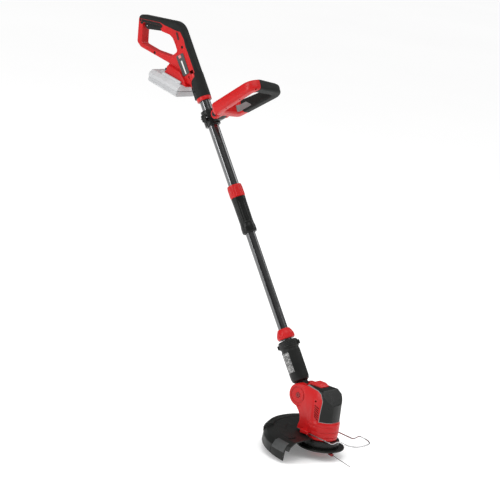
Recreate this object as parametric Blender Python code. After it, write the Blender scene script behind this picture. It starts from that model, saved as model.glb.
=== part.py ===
"""Cordless grass trimmer and lawn edger: every physical piece as one closed solid.

Frame: +Z is the spindle's axis, +X is forward, +Y is the machine's left. The origin is the
flat underside of the tap knob on the spindle's axis. Dimensions are in millimetres; MM turns
them into metres where a mesh is made.
"""

import math

import bmesh
import bpy
from mathutils import Matrix, Vector

MM = 0.001
GAP = 0.3

# --- driving dimensions ---------------------------------------------------------------------
SHAFT_LEAN = 34.2                      # degrees that the shaft leans back from the spindle's axis
PIVOT = Vector((-68.0, 0.0, 128.0))    # tilt pivot of the head, on the shaft's axis
UPPER_TUBE_R = 14.0
LOWER_TUBE_R = 12.5
TUBE_WALL = 1.2
COLLAR_BOTTOM = 145.0                  # heights along the shaft, measured from the tilt pivot
COLLAR_TOP = 172.0
TWIST_BOTTOM = 434.0
TWIST_TOP = 530.0
NUT_TOP = 564.0
CLAMP_MID = 752.0
HANDLE_END = 797.0
GUARD_R = 147.0
DISC_R = 60.5
BASE_BOTTOM = 33.0
BASE_TOP = 80.0
BASE_RINGS = [(39.4, 33.0), (40.2, 47.5), (40.9, 59.0), (41.6, 70.0), (41.6, 78.0), (39.8, 80.0)]
HEAD_TOP = 161.5
BAY_R = 40.0                           # radius of the motor bay above the base
KNUCKLE_R = 29.0
LOOP_HALF = 61.0                       # half width of the auxiliary handle at its far end
LOOP_REACH = 215.0                     # its far end, forward of the shaft's axis
LOOP_TAPER = 3.5                       # degrees by which each of its arms closes in toward the shaft
LOOP_ROLL = 9.0                        # degrees by which the ring is rolled about its own long axis

LEAN = math.radians(SHAFT_LEAN)
# The shells with many cuts close to each other, where the exact solver leaves open edges.
MANY_CUTS = ("handle_", "overmould", "grip_overmould", "motor_housing", "loop_")
UP_SHAFT = Vector((-math.sin(LEAN), 0.0, math.cos(LEAN)))


# --- scene and materials ---------------------------------------------------------------------
def clear_scene():
    for thing in list(bpy.data.objects):
        bpy.data.objects.remove(thing, do_unlink=True)


def material(name, colour, roughness, metallic=0.0):
    made = bpy.data.materials.new(name)
    made.use_nodes = True
    shader = made.node_tree.nodes["Principled BSDF"]
    shader.inputs["Base Color"].default_value = (*colour, 1.0)
    shader.inputs["Roughness"].default_value = roughness
    shader.inputs["Metallic"].default_value = metallic
    made.diffuse_color = (*colour, 1.0)
    return made


def make_materials():
    return {
        "red": material("red plastic", (0.50, 0.025, 0.025), 0.38),
        "dark_red": material("dark red plastic", (0.20, 0.010, 0.012), 0.45),
        "black": material("black plastic", (0.022, 0.023, 0.022), 0.42),
        "soft": material("soft black grip", (0.028, 0.028, 0.027), 0.75),
        "grey": material("dark grey plastic", (0.07, 0.07, 0.07), 0.45),
        "pale": material("pale battery plastic", (0.55, 0.55, 0.55), 0.45),
        "label": material("pale label", (0.45, 0.45, 0.45), 0.50),
        "tube": material("grey anodised aluminium", (0.16, 0.16, 0.17), 0.32, 1.0),
        "steel": material("bright steel", (0.60, 0.60, 0.60), 0.25, 1.0),
        "copper": material("copper winding", (0.65, 0.28, 0.12), 0.35, 1.0),
        "board": material("green circuit board", (0.02, 0.16, 0.05), 0.50),
        "line": material("cutting line", (0.06, 0.06, 0.06), 0.40),
    }


# --- frames: empties on the joint axes -------------------------------------------------------
def frame(name, origin, lean_degrees=0.0):
    empty = bpy.data.objects.new(name, None)
    empty.empty_display_size = 0.03
    bpy.context.collection.objects.link(empty)
    turn = Matrix.Rotation(math.radians(-lean_degrees), 4, "Y")
    empty.matrix_world = Matrix.Translation(Vector(origin) * MM) @ turn
    return empty


def on_shaft(height):
    return PIVOT + UP_SHAFT * height


# --- shape helpers: all take millimetres -----------------------------------------------------
def add(name, bm, home, finish, smooth=40.0):
    for vertex in bm.verts:
        vertex.co *= MM
    bmesh.ops.remove_doubles(bm, verts=bm.verts[:], dist=1e-6)
    bmesh.ops.recalc_face_normals(bm, faces=bm.faces[:])
    mesh = bpy.data.meshes.new(name)
    bm.to_mesh(mesh)
    bm.free()
    mesh.shade_smooth()
    mesh.set_sharp_from_angle(angle=math.radians(smooth))
    made = bpy.data.objects.new(name, mesh)
    bpy.context.collection.objects.link(made)
    made.parent = home
    if finish:
        mesh.materials.append(finish)
    return made


def rounded(corners, steps=2):
    """An outline from corners (x, z, radius), each turned into an arc of that radius."""
    points = []
    count = len(corners)
    for i, (x, z, radius) in enumerate(corners):
        here = Vector((x, z))
        if radius <= 0.0:
            points.append((x, z))
            continue
        before = Vector(corners[i - 1][:2]) - here
        after = Vector(corners[(i + 1) % count][:2]) - here
        room = 0.48 * min(before.length, after.length)
        before.normalize()
        after.normalize()
        half = 0.5 * before.angle(after, math.pi)
        reach = min(radius / math.tan(half), room)
        radius = reach * math.tan(half)
        middle = here + (before + after).normalized() * (radius / math.sin(half))
        start = here + before * reach - middle
        end = here + after * reach - middle
        sweep = start.angle_signed(end)
        for k in range(steps + 1):
            turn = Matrix.Rotation(-sweep * k / steps, 2)
            points.append(tuple(middle + turn @ start))
    return points


def inset(corners, distance):
    """The same corners moved inward by a distance, with their radii reduced."""
    count = len(corners)
    area = sum(
        corners[i - 1][0] * corners[i][1] - corners[i][0] * corners[i - 1][1] for i in range(count)
    )
    side = 1.0 if area > 0 else -1.0
    moved = []
    for i, (x, z, radius) in enumerate(corners):
        here = Vector((x, z))
        ahead = (Vector(corners[(i + 1) % count][:2]) - here).normalized()
        behind = (here - Vector(corners[i - 1][:2])).normalized()
        normal_a = Vector((-ahead.y, ahead.x)) * side
        normal_b = Vector((-behind.y, behind.x)) * side
        mitre = (normal_a + normal_b) / max(0.35, 1.0 + normal_a.dot(normal_b))
        spot = here + mitre * distance
        moved.append((spot.x, spot.y, max(0.0, radius - distance)))
    return moved


def prism(name, outline, low, high, home, finish, edge=0.0, axis="Y", edge_low=True, edge_high=True):
    """An outline extruded along an axis, with the rims at its ends rounded by edge."""
    bm = bmesh.new()
    if axis == "Y":
        base = [bm.verts.new((x, low, z)) for x, z in outline]
        along = Vector((0.0, high - low, 0.0))
    elif axis == "Z":
        base = [bm.verts.new((x, y, low)) for x, y in outline]
        along = Vector((0.0, 0.0, high - low))
    else:
        base = [bm.verts.new((low, y, z)) for y, z in outline]
        along = Vector((high - low, 0.0, 0.0))
    bottom = bm.faces.new(base)
    made = bmesh.ops.extrude_face_region(bm, geom=[bottom])
    top_verts = [v for v in made["geom"] if isinstance(v, bmesh.types.BMVert)]
    bmesh.ops.translate(bm, verts=top_verts, vec=along)
    bm.faces.ensure_lookup_table()
    if edge > 0.0:
        rims = []
        top = set(top_verts)
        low_set = set(base)
        for line in bm.edges:
            ends = set(line.verts)
            if edge_high and ends <= top or edge_low and ends <= low_set:
                rims.append(line)
        bmesh.ops.bevel(bm, geom=rims, offset=edge, segments=2, profile=0.5, affect="EDGES",
                        clamp_overlap=True)
    return add(name, bm, home, finish)


def box(name, low, high, home, finish, edge=0.0):
    outline = [(low[0], low[2]), (high[0], low[2]), (high[0], high[2]), (low[0], high[2])]
    return prism(name, outline, low[1], high[1], home, finish, edge)


def turned(name, profile, home, finish, sides=24, axis="Z", start=0.0, sweep=360.0, centre=(0, 0, 0)):
    """A closed profile of (radius, height) turned about an axis, all round or through a sweep."""
    bm = bmesh.new()
    whole = sweep >= 360.0
    count = sides if whole else sides + 1
    rings = []
    for k in range(count):
        angle = math.radians(start + sweep * k / sides)
        ring = []
        for radius, height in profile:
            a, b = radius * math.cos(angle), radius * math.sin(angle)
            spot = {"Z": (a, b, height), "Y": (b, height, a), "X": (height, a, b)}[axis]
            ring.append(bm.verts.new(Vector(spot) + Vector(centre)))
        rings.append(ring)
    size = len(profile)
    for k in range(sides):
        one, two = rings[k], rings[(k + 1) % count]
        for i in range(size):
            j = (i + 1) % size
            if profile[i][0] == 0.0 and profile[j][0] == 0.0:
                continue
            corners = [one[i], one[j], two[j], two[i]]
            if profile[i][0] == 0.0:
                corners = [one[i], one[j], two[j]]
            elif profile[j][0] == 0.0:
                corners = [one[i], one[j], two[i]]
            bm.faces.new(corners)
    if not whole:
        bm.faces.new(rings[0])
        bm.faces.new(rings[-1])
    bmesh.ops.remove_doubles(bm, verts=bm.verts[:], dist=1e-4)
    return add(name, bm, home, finish)


def rod(name, radius, low, high, home, finish, axis="Z", sides=16, centre=(0, 0, 0), edge=0.0):
    profile = [(0, low), (radius - edge, low), (radius, low + edge), (radius, high - edge),
               (radius - edge, high), (0, high)]
    if edge == 0.0:
        profile = [(0, low), (radius, low), (radius, high), (0, high)]
    return turned(name, profile, home, finish, sides, axis, centre=centre)


def tube(name, inner, outer, low, high, home, finish, axis="Z", sides=24, centre=(0, 0, 0)):
    profile = [(inner, low), (outer, low), (outer, high), (inner, high)]
    return turned(name, profile, home, finish, sides, axis, centre=centre)


def helper(made):
    made.hide_render = True
    made.display_type = "WIRE"
    return made


def combine(target, other, how):
    step = target.modifiers.new(how.lower(), "BOOLEAN")
    step.operation = how
    step.solver = "MANIFOLD" if target.name.startswith(MANY_CUTS) else "EXACT"
    step.object = helper(other)
    return target


def cut(target, *tools):
    for tool in tools:
        combine(target, tool, "DIFFERENCE")
    return target


def join(target, *others):
    for other in others:
        combine(target, other, "UNION")
    return target


def keep(target, *others):
    for other in others:
        combine(target, other, "INTERSECT")
    return target


def wire(name, path, radius, home, finish, resolution=2):
    curve = bpy.data.curves.new(name, "CURVE")
    curve.dimensions = "3D"
    curve.bevel_depth = radius * MM
    curve.bevel_resolution = resolution
    curve.use_fill_caps = True
    spline = curve.splines.new("POLY")
    spline.points.add(len(path) - 1)
    for point, spot in zip(spline.points, path):
        point.co = (*(Vector(spot) * MM), 1.0)
    made = bpy.data.objects.new(name, curve)
    bpy.context.collection.objects.link(made)
    made.parent = home
    curve.materials.append(finish)
    return made


def bend(path, radius, steps=3):
    """A path of 3-D points with each inner corner turned into a bend of that radius."""
    points = [Vector(path[0])]
    for before, here, after in zip(path, path[1:], path[2:]):
        here = Vector(here)
        back = Vector(before) - here
        on = Vector(after) - here
        reach = min(radius, 0.45 * back.length, 0.45 * on.length)
        start = here + back.normalized() * reach
        end = here + on.normalized() * reach
        for k in range(steps + 1):
            t = k / steps
            points.append(start * (1 - t) ** 2 + here * 2 * t * (1 - t) + end * t ** 2)
    points.append(Vector(path[-1]))
    return points


# --- rear handle -----------------------------------------------------------------------------
# Outlines are (forward, up, corner radius) from the point where the shaft's axis leaves the handle.
BODY = [(-257, 189, 13), (-110, 190, 42), (7.1, 18.0, 1), (-23.7, -3.0, 1), (-49, 36, 5), (-89, 36, 14),
        (-142, 51, 3), (-134, 74, 3), (-130, 79, 4), (-238, 104, 12), (-253, 116, 12)]
OPENING = [(-238, 171, 5), (-176, 170, 3), (-168, 157, 4), (-139, 153, 12), (-127, 147, 8), (-115, 132, 12),
           (-104, 114.5, 6), (-124, 98, 7), (-188, 104, 40), (-234, 115, 7)]
FOOT = [(-124, 76.5, 3), (-128, 74, 3), (-136, 54, 4), (-140, 49, 2), (-55, 29, 1), (-61, 42, 3),
        (-84, 65, 5)]
OVERMOULD = [(-275, 205, 0), (-80, 205, 0), (30, 25, 0), (-20, -14, 0), (-40, 22, 0), (-39, 48, 6),
             (-31, 62, 6), (-41, 77, 10), (-67, 115, 12), (-79, 131, 12), (-88, 149, 10),
             (-103, 165.5, 8), (-123, 167.5, 8), (-141, 171, 8), (-163, 175, 6), (-176, 179, 6),
             (-250, 178.5, 4), (-254, 182, 0), (-275, 186, 0)]
TRIGGER = [(-231, 168, 3), (-180, 168, 3), (-172, 163, 3), (-174, 157, 3), (-225, 154, 5), (-234, 160, 4)]
TRIGGER_PIN = (-225.0, 162.5)
BODY_HALF = 13.0
BARREL_R = 19.6
FOOT_HALF = 21.0
SKIN = 2.0                              # thickness of the soft overmould
SCREW_TIP = 11.5
RING_TOP = HANDLE_END + 13.0            # top of the trim ring below the handle
SCREW_SPOTS = [(-248, 174), (-184, 97.5), (-91, 128), (-132, 64), (-53, 56)]


def barrel(name, radius, low, high, shaft, base=HANDLE_END):
    return rod(name, radius, base + low, base + high, shaft, None, sides=24)


def handle_core(name, home, shaft, less):
    """The handle's solid form, smaller by less, before it is hollowed and split."""
    core = prism(name, rounded(inset(BODY, less)), less - BODY_HALF, BODY_HALF - less, home, None, 4.0)
    return join(core, barrel(name + "_barrel", BARREL_R - less, 13.5, 78, shaft))


def overmould_zone(name, home, shaft, spare):
    """The space that the soft overmould fills: the band over the handle's top and front."""
    zone = prism(name, rounded(inset(OVERMOULD, -spare)), -26, 26, home, None)
    return cut(zone, handle_core(name + "_core", home, shaft, SKIN + spare))


def handle_half(name, side, home, shaft, battery, finish):
    half = prism(name, rounded(BODY), -BODY_HALF, BODY_HALF, home, finish, 5.0)
    foot = prism(name + "_foot", rounded(FOOT), -FOOT_HALF, FOOT_HALF, home, None, 3.0)
    join(half, foot, barrel(name + "_barrel", BARREL_R, 13.5, 78, shaft))
    cavity = prism(name + "_cavity", rounded(inset(BODY, 5.0)), -9.8, 9.8, home, None)
    cut(cavity, prism(name + "_frame", rounded(inset(OPENING, -2.6)), -20, 20, home, None))
    cut(cavity, barrel(name + "_socket_wall", 17.0, 0, 74, shaft))
    rail = box(name + "_rail", (-60, -15, 33), (97, 15, 39.5), battery, None)
    seat = box(name + "_seat", (-60, -60, -10), (BATTERY_LONG + 0.6, 60, 33.3), battery, None)
    ring_space = box(name + "_ring_space", (-60, -60, HANDLE_END - 40), (60, 60, RING_TOP + 0.4), shaft,
                     None)
    bore = barrel(name + "_bore", UPPER_TUBE_R + GAP, -20, 90, shaft)
    cut(half, prism(name + "_opening", rounded(OPENING), -40, 40, home, None))
    cut(half, cavity, bore, rail, seat, ring_space, overmould_zone(name + "_zone", home, shaft, GAP))
    slot = box(name + "_slot", (-232, -9.3, 150), (-168, 9.3, 180), home, None)
    cut(half, box(name + "_switch_bay", (-170, -8, 159.5), (-136, 8, 176), home, None))
    cut(half, box(name + "_terminal_bay", (43, -11.5, 36), (93, 11.5, 48), battery, None))
    lock = prism(name + "_lock", lock_outline(GAP), -30, 30, home, None)
    cut(half, slot, lock)
    for number, (x, z) in enumerate(SCREW_SPOTS):
        spot = (x, 0, z)
        cut(half, rod(f"{name}_hole{number}", 2.1, -40, SCREW_TIP + GAP, home, None, "Y", 8, spot))
        cut(half, rod(f"{name}_sink{number}", 4.1, -40, screw_face(number) + 3.0, home, None, "Y", 12, spot))
    keep_side = box(name + "_side", (-300, side[0], -40), (60, side[1], 240), home, None)
    return keep(half, keep_side)


def screw_face(number):
    """Y of the housing face under each screw's head: the foot stands further out."""
    return -FOOT_HALF + 1.0 if number == 3 else -BODY_HALF + 1.0


def lock_outline(grow):
    return rounded([(-118 - grow, 163 + grow, 3), (-112 + grow, 163 + grow, 3), (-103 + grow, 144 - grow, 3),
                    (-109 - grow, 144 - grow, 3)])


def screw(name, face, tip, spot, home, finish):
    """A pan-head screw along Y, with a dimple for its driver in the head."""
    profile = [(0, face + 1.0), (1.5, face), (3.4, face), (3.4, face + 2.6), (1.8, face + 2.6), (1.8, tip),
               (0, tip)]
    return turned(name, profile, home, finish, 8, "Y", centre=(spot[0], 0, spot[1]))


def build_handle(mats):
    home = frame("handle_frame", on_shaft(HANDLE_END))
    shaft = frame("handle_shaft_frame", PIVOT, SHAFT_LEAN)
    battery = battery_frame("foot_rail_frame")
    handle_half("handle_right", (-40, -0.15), home, shaft, battery, mats["red"])
    handle_half("handle_left", (0.15, 40), home, shaft, battery, mats["red"])
    build_overmould(home, shaft, mats["soft"])
    tube("handle_ring", UPPER_TUBE_R + GAP, 19.4, RING_TOP - 10, RING_TOP, shaft, mats["red"])
    for number, spot in enumerate(SCREW_SPOTS):
        screw(f"handle_screw_{number + 1}", screw_face(number), SCREW_TIP, spot, home, mats["steel"])
    build_badge(home, mats["label"])
    build_switchgear(home, shaft, battery, mats)


def build_overmould(home, shaft, finish):
    zone = overmould_zone("grip_overmould", home, shaft, 0.0)
    zone.data.materials.append(finish)
    outer = prism("overmould_outer", rounded(BODY), -BODY_HALF, BODY_HALF, home, None, 5.0)
    join(outer, barrel("overmould_barrel", BARREL_R, 13.5, 78, shaft))
    keep(zone, outer)
    cut(zone, rod("overmould_bore", UPPER_TUBE_R + GAP, HANDLE_END - 20, HANDLE_END + 90, shaft, None))
    cut(zone, prism("overmould_lock_hole", lock_outline(GAP), -30, 30, home, None))
    cut(zone, box("overmould_ring_gap", (-40, -40, HANDLE_END - 20), (40, 40, RING_TOP + 0.6), shaft, None))
    x, z = SCREW_SPOTS[0]
    cut(zone, rod("overmould_screw", 4.1, -40, 0, home, None, "Y", 12, (x, 0, z)))


def build_badge(home, finish):
    outline = rounded([(-107, 101, 3), (-85, 114.5, 3), (-54, 67, 4), (-73, 53, 4)])
    face = -BODY_HALF - GAP
    prism("side_badge", outline, face - 1.2, face, home, finish, 0.5, edge_high=False)


def build_switchgear(home, shaft, battery, mats):
    box("switch_unit", (-166, -7.5, 160), (-137, 7.5, 175), home, mats["black"], 0.8)
    box("control_board", (-9, -9, HANDLE_END + 100), (-7, 9, HANDLE_END + 150), shaft, mats["board"])
    box("terminal_block", (44, -11, 40.2), (92, 11, 47.5), battery, mats["black"], 0.8)
    path = bend([(6, 0, HANDLE_END + 96), (0, 0, HANDLE_END + 92), (0, 0, 858)], 4)
    wire("handle_lead", path, 2.0, shaft, mats["black"])


def build_trigger(mats):
    pin_x, pin_z = TRIGGER_PIN
    anchor = on_shaft(HANDLE_END) + Vector((pin_x, 0, pin_z))
    hinge = frame("trigger_frame", anchor)
    local = [(x - pin_x, z - pin_z, r) for x, z, r in TRIGGER]
    lever = prism("trigger", rounded(local), -8.5, 8.5, hinge, mats["black"], 1.6)
    tab = box("trigger_tab", (30, -5, 1), (46, 5, 8), hinge, None)
    join(lever, tab)
    cut(lever, rod("trigger_bore", 1.8, -20, 20, hinge, None, "Y", 16))
    rod("trigger_pin", 1.5, -9.2, 9.2, hinge, mats["steel"], "Y", 12)
    home = frame("lock_frame", on_shaft(HANDLE_END))
    face = -BODY_HALF - 1.5
    prism("lock_button", lock_outline(0.0), face, -6, home, mats["dark_red"], 0.8, edge_high=False)


# --- battery ---------------------------------------------------------------------------------
BATTERY_CORNER = Vector((-690.0, 0.0, 811.0))   # lower rear corner of the pack
BATTERY_SLOPE = -13.0
BATTERY_LONG = 104.0
BATTERY_HALF = 37.0


def battery_frame(name):
    return frame(name, BATTERY_CORNER, BATTERY_SLOPE)


def octagon(half, low, high, chamfer_low, chamfer_high):
    return [(-half, low + chamfer_low), (-half, high - chamfer_high), (-half + chamfer_high, high),
            (half - chamfer_high, high), (half, high - chamfer_high), (half, low + chamfer_low),
            (half - chamfer_low, low), (-half + chamfer_low, low)]


def build_battery(mats):
    home = battery_frame("battery_frame")
    lower = prism("battery_lower", octagon(BATTERY_HALF, 0, 15, 5, 0.1), -2, BATTERY_LONG, home,
                  mats["pale"], 2.0, axis="X")
    cut(lower, box("battery_lower_hollow", (1, -34, 2.5), (101, 34, 20), home, None))
    upper = prism("battery_upper", octagon(BATTERY_HALF, 15.3, 33, 0.1, 9), -5, BATTERY_LONG, home,
                  mats["pale"], 2.0, axis="X")
    join(upper, box("battery_rail", (15, -14.5, 30), (92, 14.5, 38.5), home, None, 0.8))
    for sign in (-1, 1):
        low, high = sorted((sign * 21.6, sign * 28.0))
        join(upper, box(f"battery_shoulder{sign}", (30, low, 32), (98, high, 40.5), home, None, 2.0))
    cut(upper, box("battery_upper_hollow", (1, -27, 10), (101, 27, 30.5), home, None))
    cut(upper, box("battery_upper_low", (1, -34, 10), (101, 34, 22), home, None))
    cut(upper, box("battery_button_hole", (-20, -13.3, 19.7), (2, 13.3, 29.3), home, None))
    cut(upper, box("battery_port", (40, -9, 28), (86, 9, 50), home, None))
    cells = rod("cell_pack", 9.0, -32, 32, home, mats["steel"], "Y", 16, (13, 0, 12.3))
    for number in range(1, 5):
        join(cells, rod(f"cell_{number}", 9.0, -32, 32, home, None, "Y", 16, (13 + 17.8 * number, 0, 12.3)))
    box("battery_board", (14, -20, 24), (98, 20, 26), home, mats["board"])
    box("battery_button", (-7, -13, 20), (-0.5, 13, 29), home, mats["dark_red"], 1.0)


# --- shaft ------------------------------------------------------------------------------------
def build_shaft(mats):
    home = frame("shaft_frame", PIVOT, SHAFT_LEAN)
    tube("upper_tube", UPPER_TUBE_R - TUBE_WALL, UPPER_TUBE_R, 472, 870, home, mats["tube"])
    nut = [(14.3, TWIST_TOP + 1), (18.8, TWIST_TOP + 1), (19.8, TWIST_TOP + 4), (19.8, NUT_TOP - 10),
           (18.6, NUT_TOP), (14.3, NUT_TOP)]
    turned("telescope_nut", nut, home, mats["red"])
    sleeve = [(14.5, TWIST_BOTTOM), (18.2, TWIST_BOTTOM), (19.2, TWIST_BOTTOM + 3), (19.2, TWIST_BOTTOM + 16),
              (17.8, TWIST_BOTTOM + 24), (18.4, TWIST_TOP - 6), (18.9, TWIST_TOP), (14.5, TWIST_TOP)]
    turned("twist_sleeve", sleeve, home, mats["black"])
    collet = tube("collet", LOWER_TUBE_R + GAP, 14.2, 437, 469, home, mats["black"])
    cut(collet, box("collet_slit", (0, -1.2, 430), (20, 1.2, 480), home, None))
    tube("lower_tube", LOWER_TUBE_R - TUBE_WALL, LOWER_TUBE_R, 72, 660, home, mats["tube"])
    rod("coiled_lead", 6.5, 76, 640, home, mats["black"], sides=12)


# --- auxiliary handle -------------------------------------------------------------------------
LOOP_HINGE = 35.0                      # forward of the shaft's axis
LOOP_OFFSET = -2.0                     # along the shaft, from the middle of the clamp
ARM_WIDE = 26.0                        # thickness of an arm in the ring's own plane
ARM_DEEP = 13.5                        # half thickness along the shaft
LOOP_BASE = 14.0                       # the ring's base bar, forward of its hinge
LOOP_INNER_R = 8.0
GRIP_FROM = 52.0                       # where the soft grip ends on the left arm, forward of the hinge
GRIP_SIDE = -33.0                      # where it ends on the crossbar
CHEEK_IN = 12.6


def build_clamp(mats):
    home = frame("clamp_frame", on_shaft(CLAMP_MID), SHAFT_LEAN)
    hinge = (LOOP_HINGE, 0, LOOP_OFFSET)
    for name, side in (("clamp_rear", (-60, -0.4)), ("clamp_front", (0.4, 80))):
        band = tube(name, UPPER_TUBE_R + GAP, 20.5, -21, 21, home, mats["black"], sides=24)
        join(band, box(name + "_ears", (-7, -29, -9), (7, 29, 9), home, None, 1.5))
        if side[0] > 0:
            web = box("clamp_web", (10, -12.2, -16), (LOOP_HINGE, 12.2, 9), home, None)
            join(band, web, rod("clamp_hub", 12.5, -12.2, 12.2, home, None, "Y", 20, hinge))
            cut(band, rod("clamp_hub_bore", 4.4, -40, 40, home, None, "Y", 12, hinge))
        cut(band, rod(name + "_bore", UPPER_TUBE_R + GAP, -40, 40, home, None, sides=24))
        for sign in (-1, 1):
            cut(band, rod(f"{name}_hole{sign}", 2.4, -20, 20, home, None, "X", 8, (0, 24.6 * sign, 0)))
        keep(band, box(name + "_side", (side[0], -60, -40), (side[1], 60, 40), home, None))
    for name, sign in (("clamp_screw_right", -1), ("clamp_screw_left", 1)):
        profile = [(0, -10.5), (3.6, -10.5), (3.6, -7.4), (1.9, -7.4), (1.9, 10), (0, 10)]
        turned(name, profile, home, mats["steel"], 10, "X", centre=(0, 24.6 * sign, 0))


def loop_corners(less):
    """The ring's outline in its own plane, moved inward by less: arms that diverge, round far corners."""
    end = LOOP_REACH - LOOP_HINGE
    half = LOOP_HALF - math.tan(math.radians(LOOP_TAPER)) * (end - LOOP_BASE)
    corners = [(LOOP_BASE, -half, 16), (end, -LOOP_HALF, 34), (end, LOOP_HALF, 34), (LOOP_BASE, half, 16)]
    moved = inset(corners, less)
    return rounded([(x, y, max(radius, LOOP_INNER_R)) for x, y, radius in moved], 5)


def loop_solid(name, less, home, finish, edge):
    """The closed ring, thinner all round by less."""
    deep = ARM_DEEP - less
    ring = prism(name, loop_corners(less), -deep, deep, home, finish, edge, "Z")
    hole = prism(name + "_hole", loop_corners(ARM_WIDE - less), -deep - 5, deep + 5, home, None, axis="Z")
    return cut(ring, hole)


def grip_zone(name, home, clear):
    """The soft grip's reach: the crossbar, the left far corner and part of the left arm."""
    end = LOOP_REACH - LOOP_HINGE + 20
    zone = box(name, (GRIP_FROM - clear, 0, -40), (end, 100, 40), home, None)
    return join(zone, box(name + "_bar", (end - 60, GRIP_SIDE - clear, -40), (end, 10, 40), home, None))


def build_loop(mats):
    forward = Vector((math.cos(LEAN), 0, math.sin(LEAN)))
    hinge = frame("loop_frame", on_shaft(CLAMP_MID + LOOP_OFFSET) + forward * LOOP_HINGE, SHAFT_LEAN)
    home = frame("loop_ring_frame", on_shaft(CLAMP_MID + LOOP_OFFSET) + forward * LOOP_HINGE, SHAFT_LEAN)
    home.matrix_world = home.matrix_world @ Matrix.Rotation(math.radians(-LOOP_ROLL), 4, "X")
    for name, low, high in (("loop_lower", -40, -0.15), ("loop_upper", 0.15, 40)):
        ring = loop_solid(name, 0.0, home, mats["red"], 6.0)
        for sign in (-1, 1):
            ends = sorted((sign * CHEEK_IN, sign * 23.0))
            join(ring, rod(f"{name}_cheek{sign}", 12.5, *ends, hinge, None, "Y", 20),
                 box(f"{name}_lug{sign}", (0, ends[0], -12.0), (22, ends[1], 12.0), hinge, None))
        cut(ring, rod(name + "_bore", 4.4, -80, 80, hinge, None, "Y", 12))
        cut(ring, rod(name + "_gap", 13.6, -CHEEK_IN, CHEEK_IN, hinge, None, "Y", 20))
        zone = grip_zone(name + "_grip_zone", home, GAP)
        cut(ring, cut(zone, loop_solid(name + "_grip_core", 2.3, home, None, 4.0)))
        keep(ring, box(name + "_part", (-60, -120, low), (LOOP_REACH + 40, 120, high), home, None))
    grip = loop_solid("loop_grip", 0.0, home, mats["soft"], 6.0)
    cut(grip, loop_solid("loop_grip_core", 2.0, home, None, 4.0))
    keep(grip, grip_zone("loop_grip_part", home, 0.0))
    profile = bolt_profile(4.0, 23.4, 26.5)
    turned("loop_bolt", profile, hinge, mats["steel"], 12, "Y")


def bolt_profile(radius, grip, end):
    """A shank with a flat head of radius 6.5 at each end."""
    return [(0, -end), (6.5, -end), (6.5, -grip), (radius, -grip), (radius, grip), (6.5, grip), (6.5, end),
            (0, end)]


# --- swivel and head sleeve --------------------------------------------------------------------
def build_swivel(mats):
    home = frame("swivel_frame", PIVOT, SHAFT_LEAN)
    collar = [(12.9, COLLAR_BOTTOM), (21.0, COLLAR_BOTTOM), (23.2, COLLAR_BOTTOM + 5),
              (22.4, COLLAR_BOTTOM + 13), (19.4, COLLAR_BOTTOM + 20), (15.5, COLLAR_TOP), (12.9, COLLAR_TOP)]
    turned("swivel_collar", collar, home, mats["red"], 28)
    sleeve = [(0, 31.5), (15, 31.5), (20.5, 38), (23.6, 54), (24, 112), (22.8, 117), (22.8, 120),
              (25.4, 122), (25.4, 137), (23.5, 140.5), (12.9, 140.5), (12.9, 70), (0, 70)]
    body = turned("head_sleeve", sleeve, home, mats["black"], 28)
    for number, angle in enumerate((30, 210)):
        ear = box(f"sleeve_ear{number}", (20, -5, 124), (29.5, 5, 135), home, None, 1.5)
        ear.rotation_euler = (0, 0, math.radians(angle))
        join(body, ear)
    tongue = rod("sleeve_tongue", 20.0, -8.8, 8.8, home, None, "Y", 20)
    join(body, tongue, box("sleeve_neck", (-14, -8.8, 0), (14, 8.8, 40), home, None))
    cut(body, rod("sleeve_pivot_hole", 4.4, -30, 30, home, None, "Y", 12))
    sticker = [(24.4, 58), (25.0, 58), (25.0, 110), (24.4, 110)]
    turned("sleeve_label", sticker, home, mats["label"], 6, start=-122, sweep=54)


# --- cutting head --------------------------------------------------------------------------------
HEAD_SIDE = [(-80, 108, 8), (-84, 140, 10), (-62, 157, 10), (-34, 158.6, 8), (-6, 156, 6), (60, 154, 0),
             (60, 44, 0), (-56, 44, 2), (-57, 52, 3), (-52, 65, 6), (-54, 79, 5), (-62, 90, 3), (-70, 98, 4)]
COVER_EDGE = [(-44, 185, 0), (80, 185, 0), (80, 81, 0), (12, 81, 0), (12.6, 104, 20), (15.4, 138, 12),
              (5.4, 150.4, 8), (-7, 156, 5), (-33, 158.8, 4), (-44, 159.4, 0)]
COVER_FRONT = [(-60, 60, 0), (36.5, 60, 0), (36.5, 126, 4), (8, 158.5, 5), (-6, HEAD_TOP, 5),
               (-60, HEAD_TOP, 0)]
COVER_SIDES = [(-41, 60, 0), (41, 60, 0), (39, 137, 6), (30, 158, 5), (20, HEAD_TOP, 5), (-20, HEAD_TOP, 5),
               (-30, 158, 5), (-39, 137, 6)]
NECK_HALF = 28.5
FLANK_HALF = 37.0                      # half width where the neck's flanks meet the round motor bay
CHEEK_HALF = 30.0
TONGUE_HALF = 9.4
WALL = 2.6
LUG = [(-34, 43.2), (-8, 43.2), (-8, 51.5), (-34, 53)]   # side lugs that the wire guard's legs run through
PEDAL = [(-50, 155, 2), (-54, 161, 4), (-38, 168.5, 9), (-20, 168, 6), (-8, 161.5, 3), (-12, 155, 3)]
PEDAL_HALF = 17.0


def head_plan(less):
    """Plan view: a round motor bay with a narrower neck behind it."""
    radius = BAY_R - less
    neck = NECK_HALF - less
    meet = math.asin((FLANK_HALF - less) / radius)
    arc = [(radius * math.cos(a), radius * math.sin(a))
           for a in [meet - math.pi + (2 * math.pi - 2 * meet) * k / 24 for k in range(25)]]
    return [(-62, neck), (-98 + less, neck - 2), (-98 + less, 2 - neck), (-62, -neck)] + arc


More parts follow.
